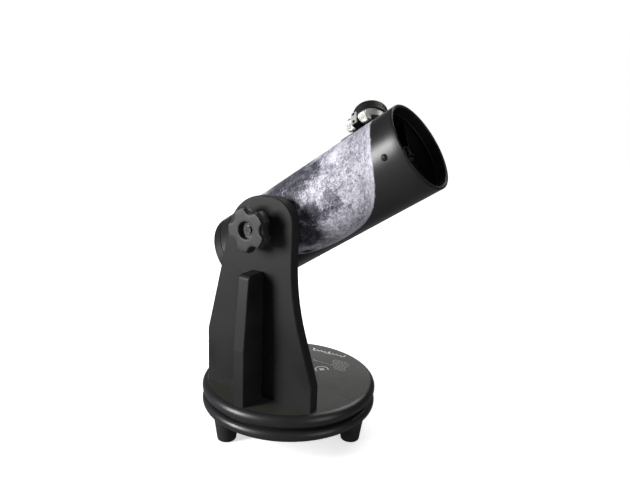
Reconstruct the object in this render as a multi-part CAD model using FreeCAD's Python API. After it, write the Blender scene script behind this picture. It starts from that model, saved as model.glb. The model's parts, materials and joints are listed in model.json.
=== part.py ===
import FreeCAD, Part
import math
import os

from FreeCAD import Placement, Rotation, Vector

# Small reflecting telescope on a single-arm alt-azimuth turntable base.
# Frame: +Z up, table plane at Z = 0, origin on the azimuth axis at the table.
# +X is the compass direction the tube points in, and the arm stands on the -Y side.
# All sizes are in millimetres.

# ---------------------------------------------------------------- fits
RUNNING = 0.08        # radial clearance of a shaft that turns or slides
SCREW_GAP = 0.1       # radial clearance of a screw in its hole
BODY_GAP = 0.35       # gap between faces that move past each other
HEAD_ROUNDING = 0.45  # rounding of a pan screw's head, as a share of its height
SAME_PLACE = 1e-4     # how near two coordinates are when they count as one

# ---------------------------------------------------------------- base
BASE_RADIUS = 100.0
LOWER_THICKNESS = 12.0
UPPER_THICKNESS = 14.8
TURNTABLE_GAP = 2.2
EDGE_WIDTH = 6.5
EDGE_BARB_DEPTH = 7.0
EDGE_BARB_THICKNESS = 2.0

FOOT_COUNT = 3
FOOT_HEIGHT = 29.5
FOOT_BOTTOM_RADIUS = 10.3
FOOT_TOP_RADIUS = 14.5
FOOT_EDGE_RADIUS = 2.0
FOOT_INSET = 20.0
FOOT_FIRST_ANGLE = -114.85
FOOT_RECESS_RADIUS = 5.5
FOOT_RECESS_DEPTH = 14.0
FOOT_SCREW_RADIUS = 2.4
FOOT_SCREW_BITE = 9.0
FOOT_SCREW_HEAD_RADIUS = 4.6
FOOT_SCREW_HEAD_HEIGHT = 3.2

PAD_COUNT = 3
PAD_RADIUS = 11.0
PAD_CIRCLE_RADIUS = 62.0

AZ_BOLT_RADIUS = 5.0
AZ_HEAD_FLATS = 17.0
AZ_HEAD_HEIGHT = 6.4
AZ_BUSHING_RADIUS = 8.0
AZ_FLANGE_RADIUS = 13.0
AZ_FLANGE_THICKNESS = 1.5
AZ_WASHER_RADIUS = 11.0
AZ_WASHER_THICKNESS = 2.0
AZ_NUT_HEIGHT = 8.0
AZ_BOLT_PROUD = 2.5

# ---------------------------------------------------------------- arm
ARM_THICKNESS = 13.3
ARM_TUBE_GAP = 5.1
ARM_FOOT_LEFT = -69.6
ARM_FOOT_RIGHT = 68.5
ARM_SHOULDER_HEIGHT = 61.0
ARM_SHOULDER_RADIUS = 5.0
ARM_LEFT_LEAN = 13.9
ARM_TOP_HEIGHT = 218.5
ARM_TOP_LEFT_RADIUS = 45.0
ARM_TOP_RIGHT_RADIUS = 26.0
ARM_RIGHT_X = 40.0
ARM_FLARE_HEIGHT = 115.0
ARM_FLARE_LEAN = 18.0
ARM_FLARE_RADIUS = 250.0
ARM_CORNER_RADIUS = 12.0
ARM_EDGE_FILLET = 1.6

RIB_THICKNESS = 13.3
RIB_CENTRE_X = -1.2
RIB_REACH = 31.2
RIB_TOP_REACH = 23.4
RIB_SHOULDER_HEIGHT = 61.5
RIB_TOP_HEIGHT = 140.2
RIB_TOP_RADIUS = 5.0
RIB_EDGE_FILLET = 1.2

PANEL_SCREW_RADIUS = 2.2
PANEL_SCREW_HEAD_RADIUS = 4.6
PANEL_SCREW_HEAD_HEIGHT = 3.0
PANEL_SCREW_BITE = 32.0
ARM_SCREW_SHARES = (-0.52, -0.26, 0.26, 0.52)
RIB_SCREW_BITE = 20.0
RIB_SCREW_HEIGHTS = (44.0, 82.0, 120.0)

# ---------------------------------------------------------------- altitude pivot
PIVOT_X = 0.0
PIVOT_HEIGHT = 186.2
REST_TILT = 33.4
ALT_BOLT_RADIUS = 4.0
ALT_BOLT_HEAD_RADIUS = 8.0
ALT_BOLT_HEAD_HEIGHT = 3.0
ALT_BUSHING_RADIUS = 6.5
FRICTION_DISC_RADIUS = 26.0
FRICTION_DISC_THICKNESS = 1.7
BRACKET_RADIUS = 25.0
BRACKET_SCREW_OFFSET = 16.0
BRACKET_SCREW_RADIUS = 2.0
BRACKET_SCREW_BITE = 7.0
BRACKET_SCREW_HEAD_RADIUS = 3.8
BRACKET_SCREW_HEAD_HEIGHT = 2.4
KNOB_WASHER_RADIUS = 12.5
KNOB_WASHER_THICKNESS = 2.0
KNOB_LOBES = 5
KNOB_RADIUS = 23.7
KNOB_FLUTE_RADIUS = 10.2
KNOB_FLUTE_CIRCLE = 29.0
KNOB_FIRST_FLUTE = 6.0
KNOB_THICKNESS = 13.0
KNOB_LOBE_FILLET = 2.2
KNOB_FACE_FILLET = 1.8
KNOB_HUB_RADIUS = 11.0
KNOB_HUB_LENGTH = 8.0
KNOB_RECESS_RADIUS = 8.8
KNOB_RECESS_DEPTH = 5.0
KNOB_INSERT_RADIUS = 6.6
ALT_BOLT_SHORT = 1.6

# ---------------------------------------------------------------- tube
TUBE_AXIS_Y = 1.5
TUBE_DROP = 4.4
TUBE_RADIUS = 45.7
TUBE_WALL = 1.2
TUBE_REAR = 75.4
TUBE_FRONT = 166.0
RING_FLANGE = 2.5
RING_BORE_RADIUS = 42.5
RING_DEPTH = 12.0
RING_LIP_FILLET = 0.9
CAP_LENGTH = 12.1
CAP_FLOOR = 4.0
CAP_BORE_RADIUS = 42.3
CAP_SPIGOT = 7.0
CAP_EDGE_FILLET = 3.0

# ---------------------------------------------------------------- optics
MIRROR_RADIUS = 38.0
MIRROR_THICKNESS = 10.0
MIRROR_CURVE_RADIUS = 600.0
CELL_RADIUS = 41.8
CELL_PLATE = 4.0
CELL_RIM_RADIUS = 41.5
MIRROR_SEAT_GAP = 0.3
CLIP_COUNT = 3
CLIP_FIRST_ANGLE = 60.0
CLIP_WIDTH = 8.0
CLIP_OVERLAP = 2.0
CLIP_THICKNESS = 1.5
CLIP_SCREW_RADIUS = 1.2
CLIP_SCREW_BITE = 6.0
CLIP_SCREW_HEAD_RADIUS = 2.0
CLIP_SCREW_HEAD_HEIGHT = 1.4
CELL_SCREW_CIRCLE = 30.0
CELL_SCREW_RADIUS = 1.9
CELL_SCREW_HEAD_RADIUS = 3.6
CELL_SCREW_HEAD_HEIGHT = 2.0
CELL_SCREW_BITE = 3.4

SPIDER_STATION = 147.0
SPIDER_VANES = 3
SPIDER_FIRST_ANGLE = 31.5
SPIDER_HUB_RADIUS = 8.0
SPIDER_HUB_LENGTH = 9.0
SPIDER_VANE_THICKNESS = 0.9
SPIDER_VANE_WIDTH = 8.6
SPIDER_TAB_THICKNESS = 2.0
SPIDER_TAB_WIDTH = 9.0
SPIDER_SCREW_RADIUS = 1.7
SPIDER_SCREW_HEAD_RADIUS = 3.3
SPIDER_SCREW_HEAD_HEIGHT = 1.7
SPIDER_NUT_FLATS = 5.5
SPIDER_NUT_HEIGHT = 2.2
SPIDER_SCREW_PROUD = 1.0

SECONDARY_RADIUS = 12.0
SECONDARY_THICKNESS = 3.0
HOLDER_RADIUS = 10.8
HOLDER_GAP = 3.0
SECONDARY_BOLT_RADIUS = 1.6
SECONDARY_BOLT_BITE = 8.0
TILT_SCREW_COUNT = 3
TILT_SCREW_RADIUS = 1.0
TILT_SCREW_CIRCLE = 5.2
SECONDARY_BOLT_HEAD_RADIUS = 2.8
SECONDARY_BOLT_HEAD_HEIGHT = 2.0
TILT_SCREW_HEAD_RADIUS = 1.7

# ---------------------------------------------------------------- focuser
FOCUSER_STATION = 111.4
FOCUSER_ANGLE = 40.0
SADDLE_THICKNESS = 3.0
SADDLE_HALF_LENGTH = 23.0
SADDLE_HALF_WIDTH = 29.0
SADDLE_CORNER_RADIUS = 6.0
HOUSING_WALL = 3.5
HOUSING_TOP = 64.5
DRAWTUBE_RADIUS = 17.0
EYEPIECE_BARREL_RADIUS = 15.87
RACK_SPARE = 3.5
COLLAR_STEP = 0.6
COLLAR_HEIGHT = 13.2
FOCUS_TRAVEL = 32.0

RACK_MODULE = 0.7
RACK_PITCH_RISE = 2.3
RACK_WIDTH = 3.4
RACK_FLAT_DEPTH = 0.6
TOOTH_BACKLASH = 0.5
STUB_ADDENDUM = 0.85
STUB_DEDENDUM = 1.1
PRESSURE_ANGLE = 20.0
PINION_TEETH = 12
PINION_HEIGHT = 57.5
PINION_SHAFT_RADIUS = 1.6
HUMP_HALF_WIDTH = 3.2
HUMP_WALL = 1.0
HUMP_BOTTOM = 49.0
FOCUS_KNOB_RADIUS = 5.8
FOCUS_KNOB_LENGTH = 10.0
FOCUS_KNOB_BORE = 7.0
FOCUS_KNOB_GROOVES = 18
FOCUS_KNOB_GROOVE_RADIUS = 0.45
COVER_THICKNESS = 1.2
COVER_SCREW_RADIUS = 0.9
COVER_SCREW_HEAD_RADIUS = 1.6
COVER_SCREW_HEAD_HEIGHT = 0.9
COVER_SCREW_BITE = 1.6
COVER_EDGE = 2.2

SADDLE_SCREW_X = 17.5
SADDLE_SCREW_ANGLE = 29.0
SADDLE_SCREW_RADIUS = 1.5
SADDLE_SCREW_HEAD_RADIUS = 2.7
SADDLE_SCREW_HEAD_HEIGHT = 1.7
SADDLE_NUT_FLATS = 5.0
SADDLE_NUT_HEIGHT = 2.0

THUMBSCREW_DROP = 5.0
THUMBSCREW_ANGLE = 233.0
THUMBSCREW_RADIUS = 1.7
THUMBSCREW_HEAD_RADIUS = 2.6
THUMBSCREW_NECK = 2.2
THUMBSCREW_HEAD_LENGTH = 6.0

# ---------------------------------------------------------------- eyepiece
EYEPIECE_BODY_RADIUS = 19.0
EYEPIECE_BODY_HEIGHT = 14.2
EYEPIECE_BARREL_LENGTH = 25.0
EYEPIECE_BARREL_WALL = 1.2
EYEPIECE_DOME_INSET = 5.0
EYEPIECE_DOME_HEIGHT = 3.0
EYE_LENS_RADIUS = 6.0
EYE_LENS_THICKNESS = 3.0
FIELD_LENS_THICKNESS = 3.4
LENS_RECESS = 1.2

# ---------------------------------------------------------------- worked out
LOWER_BOTTOM = FOOT_HEIGHT
LOWER_TOP = LOWER_BOTTOM + LOWER_THICKNESS
UPPER_BOTTOM = LOWER_TOP + TURNTABLE_GAP
BASE_TOP = UPPER_BOTTOM + UPPER_THICKNESS
BOARD_RADIUS = BASE_RADIUS - EDGE_WIDTH
FOOT_CIRCLE_RADIUS = BASE_RADIUS - FOOT_INSET
ARM_INNER_Y = TUBE_AXIS_Y - TUBE_RADIUS - ARM_TUBE_GAP
ARM_SCREW_X = [share * BASE_RADIUS for share in ARM_SCREW_SHARES]
ARM_OUTER_Y = ARM_INNER_Y - ARM_THICKNESS
PIVOT_Z = BASE_TOP + PIVOT_HEIGHT
TUBE_BORE = TUBE_RADIUS - TUBE_WALL
TUBE_BODY_FRONT = TUBE_FRONT - RING_FLANGE
CAP_REAR = TUBE_REAR + CAP_LENGTH
MIRROR_REAR = CAP_REAR - CAP_FLOOR - CELL_PLATE
MIRROR_FRONT = MIRROR_REAR - MIRROR_THICKNESS
BRACKET_FACE_Y = ARM_INNER_Y + FRICTION_DISC_THICKNESS + BODY_GAP
HUB_END_Y = ARM_OUTER_Y - KNOB_WASHER_THICKNESS - BODY_GAP
KNOB_REAR_Y = HUB_END_Y - KNOB_HUB_LENGTH
KNOB_FACE_Y = KNOB_REAR_Y - KNOB_THICKNESS
HOUSING_RADIUS = DRAWTUBE_RADIUS + HOUSING_WALL
COLLAR_RADIUS = DRAWTUBE_RADIUS + COLLAR_STEP
RACK_PITCH_REACH = DRAWTUBE_RADIUS + RACK_PITCH_RISE
RACK_FLAT = DRAWTUBE_RADIUS - RACK_FLAT_DEPTH
PINION_PITCH_RADIUS = RACK_MODULE * PINION_TEETH / 2.0
PINION_Y = -(RACK_PITCH_REACH + PINION_PITCH_RADIUS)
ADDENDUM = STUB_ADDENDUM * RACK_MODULE
DEDENDUM = STUB_DEDENDUM * RACK_MODULE
DRAWTUBE_BOTTOM = PINION_HEIGHT - FOCUS_TRAVEL - RACK_SPARE
COLLAR_BOTTOM = HOUSING_TOP + BODY_GAP
COLLAR_TOP = COLLAR_BOTTOM + COLLAR_HEIGHT
EYEPIECE_SEAT = COLLAR_TOP + BODY_GAP

X_AXIS = Vector(1, 0, 0)
Y_AXIS = Vector(0, 1, 0)
Z_AXIS = Vector(0, 0, 1)
ORIGIN = Vector(0, 0, 0)

parts = {}


# ---------------------------------------------------------------- helpers
def cylinder(radius, start, length, axis=Z_AXIS):
    """A solid cylinder that starts at a point and runs along an axis."""
    return Part.makeCylinder(radius, length, start, axis)


def ring(outer, inner, start, length, axis=Z_AXIS):
    """A round tube."""
    return cylinder(outer, start, length, axis).cut(cylinder(inner, start, length, axis))


def hexagon(flats, start, height, axis=Z_AXIS):
    """A hexagonal prism of a given width across its flats."""
    reach = flats / math.sqrt(3.0)
    points = []
    for corner in range(7):
        turn = math.radians(60.0 * corner)
        points.append(Vector(reach * math.cos(turn), reach * math.sin(turn), 0))
    prism = Part.Face(Part.makePolygon(points)).extrude(Vector(0, 0, height))
    prism.Placement = Placement(start, Rotation(Z_AXIS, axis))
    return prism


def revolve(points):
    """A solid of revolution about Z of a closed outline of (radius, height) points."""
    outline = [Vector(r, 0, z) for r, z in points]
    outline.append(outline[0])
    return Part.Face(Part.makePolygon(outline)).revolve(ORIGIN, Z_AXIS, 360)


def polar(radius, degrees, z=0.0):
    """A point on a circle about Z."""
    turn = math.radians(degrees)
    return Vector(radius * math.cos(turn), radius * math.sin(turn), z)


def evenly(count, first=0.0):
    """Angles of a number of things spaced evenly round a circle."""
    return [first + 360.0 * n / count for n in range(count)]


def pan_screw(start, axis, head_radius, head_height, shank_radius, shank_length):
    """A screw whose head stands back from its seat and whose shank runs along the axis."""
    back = Vector(axis).normalize().multiply(-head_height)
    head = cylinder(head_radius, start + back, head_height, axis)
    head = head.makeFillet(HEAD_ROUNDING * head_height, [top_edge(head, start + back, axis)])
    return head.fuse(cylinder(shank_radius, start, shank_length, axis)).removeSplitter()


def top_edge(solid, point, axis):
    """The round edge whose centre is nearest a point."""
    rounds = [e for e in solid.Edges if hasattr(e.Curve, "Radius")]
    return min(rounds, key=lambda e: (e.Curve.Center - point).Length)


def rounded_wire(corners):
    """A closed wire through (point, radius) corners, with a tangent arc at each rounded one."""
    edges = []
    joints = []
    count = len(corners)
    for n, (point, radius) in enumerate(corners):
        before = (corners[n - 1][0] - point).normalize()
        after = (corners[(n + 1) % count][0] - point).normalize()
        if radius <= 0:
            joints.append((point, None, point))
            continue
        half = before.getAngle(after) / 2.0
        reach = radius / math.tan(half)
        bisector = (before + after).normalize()
        middle = point + bisector * (radius / math.sin(half) - radius)
        joints.append((point + before * reach, middle, point + after * reach))
    for n, (enter, middle, leave) in enumerate(joints):
        if middle is not None:
            edges.append(Part.Arc(enter, middle, leave).toShape())
        following = joints[(n + 1) % count][0]
        edges.append(Part.LineSegment(leave, following).toShape())
    return Part.Wire(edges)


def group(solids):
    """Identical separate solids as one shape."""
    return Part.Compound(solids)


# Tube frame: X along the optical axis, Y as the object's, origin under the altitude pivot.
TUBE_TURN = Rotation(Y_AXIS, -REST_TILT)
TUBE_ORIGIN = Vector(PIVOT_X, TUBE_AXIS_Y, PIVOT_Z) + TUBE_TURN.multVec(Vector(0, 0, -TUBE_DROP))
TUBE_PLACE = Placement(TUBE_ORIGIN, TUBE_TURN)

# Focuser frame: Z out of the tube along the drawtube, X along the optical axis.
FOCUSER_PLACE = TUBE_PLACE.multiply(
    Placement(Vector(FOCUSER_STATION, 0, 0), Rotation(X_AXIS, -FOCUSER_ANGLE))
)


def placed(shape, place):
    """A shape moved from a sub-assembly's own frame to the object's frame."""
    moved = shape.copy()
    moved.Placement = place.multiply(moved.Placement)
    return moved


def in_tube(name, shape):
    """Store a shape that is drawn in the tube's frame."""
    parts[name] = placed(shape, TUBE_PLACE)


def in_focuser(name, shape):
    """Store a shape that is drawn in the focuser's frame."""
    parts[name] = placed(shape, FOCUSER_PLACE)


# ---------------------------------------------------------------- base boards and edging
def edge_band(bottom, thickness):
    """A half-round edge moulding with a barb that is pressed into the board's edge."""
    half = thickness / 2.0
    flat = BOARD_RADIUS + max(0.0, EDGE_WIDTH - half)
    low = Vector(BOARD_RADIUS, 0, bottom)
    low_start = Vector(flat, 0, bottom)
    tip = Vector(BASE_RADIUS, 0, bottom + half)
    high_end = Vector(flat, 0, bottom + thickness)
    high = Vector(BOARD_RADIUS, 0, bottom + thickness)
    edges = [Part.Arc(low_start, tip, high_end).toShape(), Part.LineSegment(high, low).toShape()]
    if flat > BOARD_RADIUS:
        edges.append(Part.LineSegment(low, low_start).toShape())
        edges.append(Part.LineSegment(high_end, high).toShape())
    profile = Part.Face(Part.Wire(Part.__sortEdges__(edges)))
    band = profile.revolve(ORIGIN, Z_AXIS, 360)
    return band.fuse(barb(bottom, thickness)).removeSplitter()


def barb(bottom, thickness):
    """The thin ring of the moulding that lies in the board's groove."""
    low = bottom + (thickness - EDGE_BARB_THICKNESS) / 2.0
    return ring(BOARD_RADIUS, BOARD_RADIUS - EDGE_BARB_DEPTH, Vector(0, 0, low), EDGE_BARB_THICKNESS)


def foot_places():
    """Centres of the feet on the table."""
    return [polar(FOOT_CIRCLE_RADIUS, a) for a in evenly(FOOT_COUNT, FOOT_FIRST_ANGLE)]


def make_base():
    """Feet, lower board, its edging, the slide pads and the azimuth pivot bolt."""
    for n, place in enumerate(foot_places(), 1):
        foot = Part.makeCone(FOOT_BOTTOM_RADIUS, FOOT_TOP_RADIUS, FOOT_HEIGHT, place)
        foot = foot.makeFillet(FOOT_EDGE_RADIUS, [top_edge(foot, place, Z_AXIS)])
        foot = foot.cut(cylinder(FOOT_RECESS_RADIUS, place, FOOT_RECESS_DEPTH))
        foot = foot.cut(cylinder(FOOT_SCREW_RADIUS + SCREW_GAP, place, FOOT_HEIGHT))
        parts["foot_%d" % n] = foot

    board = cylinder(BOARD_RADIUS, Vector(0, 0, LOWER_BOTTOM), LOWER_THICKNESS)
    board = board.cut(barb(LOWER_BOTTOM, LOWER_THICKNESS))
    board = board.cut(cylinder(AZ_BOLT_RADIUS + SCREW_GAP, ORIGIN, BASE_TOP))
    screws = []
    for place in foot_places():
        seat = place + Vector(0, 0, FOOT_RECESS_DEPTH)
        length = FOOT_HEIGHT - FOOT_RECESS_DEPTH + FOOT_SCREW_BITE
        screws.append(pan_screw(seat, Z_AXIS, FOOT_SCREW_HEAD_RADIUS, FOOT_SCREW_HEAD_HEIGHT,
                                FOOT_SCREW_RADIUS, length))
        board = board.cut(cylinder(FOOT_SCREW_RADIUS + SCREW_GAP, seat, length))
    parts["lower_board"] = board
    parts["foot_screws"] = group(screws)
    parts["lower_edge_band"] = edge_band(LOWER_BOTTOM, LOWER_THICKNESS)

    pad_height = TURNTABLE_GAP - BODY_GAP
    pads = []
    for angle in evenly(PAD_COUNT, FOOT_FIRST_ANGLE):
        pads.append(cylinder(PAD_RADIUS, polar(PAD_CIRCLE_RADIUS, angle, LOWER_TOP), pad_height))
    parts["slide_pads"] = group(pads)


def make_azimuth_pivot():
    """The bolt, bushing, washer and nut that the upper board turns on."""
    flange_top = BASE_TOP + AZ_FLANGE_THICKNESS
    washer_bottom = flange_top + BODY_GAP
    nut_bottom = washer_bottom + AZ_WASHER_THICKNESS
    bolt_top = nut_bottom + AZ_NUT_HEIGHT + AZ_BOLT_PROUD
    bolt = cylinder(AZ_BOLT_RADIUS, Vector(0, 0, LOWER_BOTTOM), bolt_top - LOWER_BOTTOM)
    head = hexagon(AZ_HEAD_FLATS, Vector(0, 0, LOWER_BOTTOM - AZ_HEAD_HEIGHT), AZ_HEAD_HEIGHT)
    parts["azimuth_bolt"] = bolt.fuse(head).removeSplitter()

    bore = AZ_BOLT_RADIUS + RUNNING
    bushing = ring(AZ_BUSHING_RADIUS, bore, Vector(0, 0, UPPER_BOTTOM), UPPER_THICKNESS)
    flange = ring(AZ_FLANGE_RADIUS, bore, Vector(0, 0, BASE_TOP), AZ_FLANGE_THICKNESS)
    parts["azimuth_bushing"] = bushing.fuse(flange).removeSplitter()
    parts["azimuth_washer"] = ring(AZ_WASHER_RADIUS, AZ_BOLT_RADIUS + SCREW_GAP,
                                   Vector(0, 0, washer_bottom), AZ_WASHER_THICKNESS)
    nut = hexagon(AZ_HEAD_FLATS, Vector(0, 0, nut_bottom), AZ_NUT_HEIGHT)
    parts["azimuth_nut"] = nut.cut(cylinder(AZ_BOLT_RADIUS + SCREW_GAP, Vector(0, 0, nut_bottom),
                                            AZ_NUT_HEIGHT))


# ---------------------------------------------------------------- turntable and arm
def arm_outline():
    """Corners of the arm's face in the XZ plane, each with its rounding radius."""
    shoulder = BASE_TOP + ARM_SHOULDER_HEIGHT
    top = BASE_TOP + ARM_TOP_HEIGHT
    flare = BASE_TOP + ARM_FLARE_HEIGHT
    left_run = (top - shoulder) * math.tan(math.radians(ARM_LEFT_LEAN))
    flare_drop = (ARM_FOOT_RIGHT - ARM_RIGHT_X) / math.tan(math.radians(ARM_FLARE_LEAN))
    return [
        (Vector(ARM_FOOT_LEFT, 0, BASE_TOP), 0),
        (Vector(ARM_FOOT_LEFT, 0, shoulder), ARM_SHOULDER_RADIUS),
        (Vector(ARM_FOOT_LEFT + left_run, 0, top), ARM_TOP_LEFT_RADIUS),
        (Vector(ARM_RIGHT_X, 0, top), ARM_TOP_RIGHT_RADIUS),
        (Vector(ARM_RIGHT_X, 0, flare), ARM_FLARE_RADIUS),
        (Vector(ARM_FOOT_RIGHT, 0, flare - flare_drop), ARM_CORNER_RADIUS),
        (Vector(ARM_FOOT_RIGHT, 0, BASE_TOP), 0),
    ]


def edges_at(solid, test):
    """Edges all of whose points pass a test."""
    chosen = []
    for edge in solid.Edges:
        points = edge.discretize(5)
        if all(test(p) for p in points):
            chosen.append(edge)
    return chosen


def on_arm_face(point):
    """Whether a point lies on the inner or outer face of the arm."""
    return min(abs(point.y - ARM_INNER_Y), abs(point.y - ARM_OUTER_Y)) < SAME_PLACE


def on_base_top(point):
    """Whether a point lies on the turntable's upper face."""
    return abs(point.z - BASE_TOP) < SAME_PLACE


def make_arm():
    """The upright arm panel, its gusset rib and the screws that hold them."""
    face = Part.Face(rounded_wire(arm_outline()))
    arm = face.extrude(Vector(0, -ARM_THICKNESS, 0))
    arm.translate(Vector(0, ARM_INNER_Y, 0))

    rim = [e for e in edges_at(arm, on_arm_face) if not all(on_base_top(p) for p in e.discretize(3))]
    arm = arm.makeFillet(ARM_EDGE_FILLET, rim)

    rib = gusset()
    middle_y = ARM_INNER_Y - ARM_THICKNESS / 2.0
    screws = []
    for x in ARM_SCREW_X:
        screws.append(base_screw(Vector(x, middle_y, UPPER_BOTTOM)))
    screws.append(base_screw(Vector(RIB_CENTRE_X, ARM_OUTER_Y - RIB_REACH / 2.0, UPPER_BOTTOM)))

    board = cylinder(BOARD_RADIUS, Vector(0, 0, UPPER_BOTTOM), UPPER_THICKNESS)
    board = board.cut(barb(UPPER_BOTTOM, UPPER_THICKNESS))
    board = board.cut(cylinder(AZ_BUSHING_RADIUS, ORIGIN, BASE_TOP))
    for screw, hole in screws:
        board = board.cut(hole)
        arm = arm.cut(hole)
        rib = rib.cut(hole)
    parts["upper_board"] = board
    parts["upper_edge_band"] = edge_band(UPPER_BOTTOM, UPPER_THICKNESS)
    parts["arm_screws"] = group([screw for screw, hole in screws])

    rib_screws = []
    for height in RIB_SCREW_HEIGHTS:
        seat = Vector(RIB_CENTRE_X, ARM_INNER_Y - PANEL_SCREW_HEAD_HEIGHT, BASE_TOP + height)
        length = ARM_THICKNESS - PANEL_SCREW_HEAD_HEIGHT + RIB_SCREW_BITE
        screw = pan_screw(seat, -Y_AXIS, PANEL_SCREW_HEAD_RADIUS, PANEL_SCREW_HEAD_HEIGHT,
                          PANEL_SCREW_RADIUS, length)
        hole = cylinder(PANEL_SCREW_RADIUS + SCREW_GAP, seat, length, -Y_AXIS)
        sink = cylinder(PANEL_SCREW_HEAD_RADIUS + SCREW_GAP, seat, PANEL_SCREW_HEAD_HEIGHT, Y_AXIS)
        arm = arm.cut(hole).cut(sink)
        rib = rib.cut(hole)
        rib_screws.append(screw)
    parts["rib_screws"] = group(rib_screws)
    parts["gusset_rib"] = rib

    pivot = Vector(PIVOT_X, ARM_INNER_Y, PIVOT_Z)
    parts["side_arm"] = arm.cut(cylinder(ALT_BUSHING_RADIUS, pivot, ARM_THICKNESS, -Y_AXIS))


def base_screw(place):
    """A countersunk-flush screw driven up through the upper board, and the hole it needs."""
    seat = place + Vector(0, 0, PANEL_SCREW_HEAD_HEIGHT)
    length = UPPER_THICKNESS - PANEL_SCREW_HEAD_HEIGHT + PANEL_SCREW_BITE
    screw = pan_screw(seat, Z_AXIS, PANEL_SCREW_HEAD_RADIUS, PANEL_SCREW_HEAD_HEIGHT,
                      PANEL_SCREW_RADIUS, length)
    hole = cylinder(PANEL_SCREW_RADIUS + SCREW_GAP, seat, length)
    sink = cylinder(PANEL_SCREW_HEAD_RADIUS + SCREW_GAP, place, PANEL_SCREW_HEAD_HEIGHT)
    return screw, hole.fuse(sink)


def gusset():
    """The rib that stands square to the arm on its outer side and tapers towards its top."""
    x = RIB_CENTRE_X - RIB_THICKNESS / 2.0
    toe_y = ARM_OUTER_Y - RIB_REACH
    tip_y = ARM_OUTER_Y - RIB_TOP_REACH
    top = BASE_TOP + RIB_TOP_HEIGHT
    wire = rounded_wire([
        (Vector(x, ARM_OUTER_Y, BASE_TOP), 0),
        (Vector(x, toe_y, BASE_TOP), 0),
        (Vector(x, toe_y, BASE_TOP + RIB_SHOULDER_HEIGHT), 0),
        (Vector(x, tip_y, top), RIB_TOP_RADIUS),
        (Vector(x, ARM_OUTER_Y, top), 0),
    ])
    rib = Part.Face(wire).extrude(Vector(RIB_THICKNESS, 0, 0))
    sides = (x, x + RIB_THICKNESS)

    def outer_rim(p):
        return min(abs(p.x - s) for s in sides) < SAME_PLACE and p.y < ARM_OUTER_Y + SAME_PLACE

    rim = []
    for edge in edges_at(rib, outer_rim):
        points = edge.discretize(3)
        against_arm = all(abs(p.y - ARM_OUTER_Y) < SAME_PLACE for p in points)
        if not against_arm and not all(on_base_top(p) for p in points):
            rim.append(edge)
    return rib.makeFillet(RIB_EDGE_FILLET, rim)


# ---------------------------------------------------------------- altitude pivot
def make_altitude_pivot():
    """Bushing, friction disc and washer on the arm, and the knob with its insert."""
    pivot = Vector(PIVOT_X, 0, PIVOT_Z)
    inner = pivot + Vector(0, ARM_INNER_Y, 0)
    outer = pivot + Vector(0, ARM_OUTER_Y, 0)
    bore = ALT_BOLT_RADIUS + RUNNING
    parts["altitude_bushing"] = ring(ALT_BUSHING_RADIUS, bore, inner, ARM_THICKNESS, -Y_AXIS)
    parts["friction_disc"] = ring(FRICTION_DISC_RADIUS, ALT_BUSHING_RADIUS, inner,
                                  FRICTION_DISC_THICKNESS, Y_AXIS)
    parts["knob_washer"] = ring(KNOB_WASHER_RADIUS, bore, outer, KNOB_WASHER_THICKNESS, -Y_AXIS)

    hub_end = pivot + Vector(0, HUB_END_Y, 0)
    rear = pivot + Vector(0, KNOB_REAR_Y, 0)
    recess = pivot + Vector(0, KNOB_FACE_Y + KNOB_RECESS_DEPTH, 0)
    parts["altitude_knob"] = star_knob(pivot, rear, hub_end, recess)
    parts["knob_insert"] = ring(KNOB_INSERT_RADIUS, bore, hub_end,
                                abs(recess.y - hub_end.y), -Y_AXIS)


def star_knob(pivot, rear, hub_end, recess):
    """A round head with concave flutes between its lobes, on a hub that meets the washer."""
    head = cylinder(KNOB_RADIUS, rear, KNOB_THICKNESS, -Y_AXIS)
    for angle in evenly(KNOB_LOBES, KNOB_FIRST_FLUTE):
        turn = math.radians(angle)
        off = Vector(math.cos(turn), 0, math.sin(turn)) * KNOB_FLUTE_CIRCLE
        head = head.cut(cylinder(KNOB_FLUTE_RADIUS, rear + off, KNOB_THICKNESS, -Y_AXIS))
    front_y = rear.y - KNOB_THICKNESS

    def lobe_corner(edge):
        points = edge.discretize(3)
        straight = edge.Curve.TypeId.endswith("Line")
        return straight and abs((points[0] - points[-1]).Length - KNOB_THICKNESS) < SAME_PLACE

    corners = [e for e in head.Edges if lobe_corner(e)]
    head = head.makeFillet(KNOB_LOBE_FILLET, corners)
    rims = edges_at(head, lambda p: min(abs(p.y - rear.y), abs(p.y - front_y)) < SAME_PLACE)
    head = head.makeFillet(KNOB_FACE_FILLET, rims)
    hub = cylinder(KNOB_HUB_RADIUS, hub_end, KNOB_HUB_LENGTH, -Y_AXIS)
    knob = head.fuse(hub).removeSplitter()
    knob = knob.cut(cylinder(KNOB_RECESS_RADIUS, recess, KNOB_RECESS_DEPTH, -Y_AXIS))
    return knob.cut(cylinder(KNOB_INSERT_RADIUS, hub_end, KNOB_THICKNESS + KNOB_HUB_LENGTH, -Y_AXIS))


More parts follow.
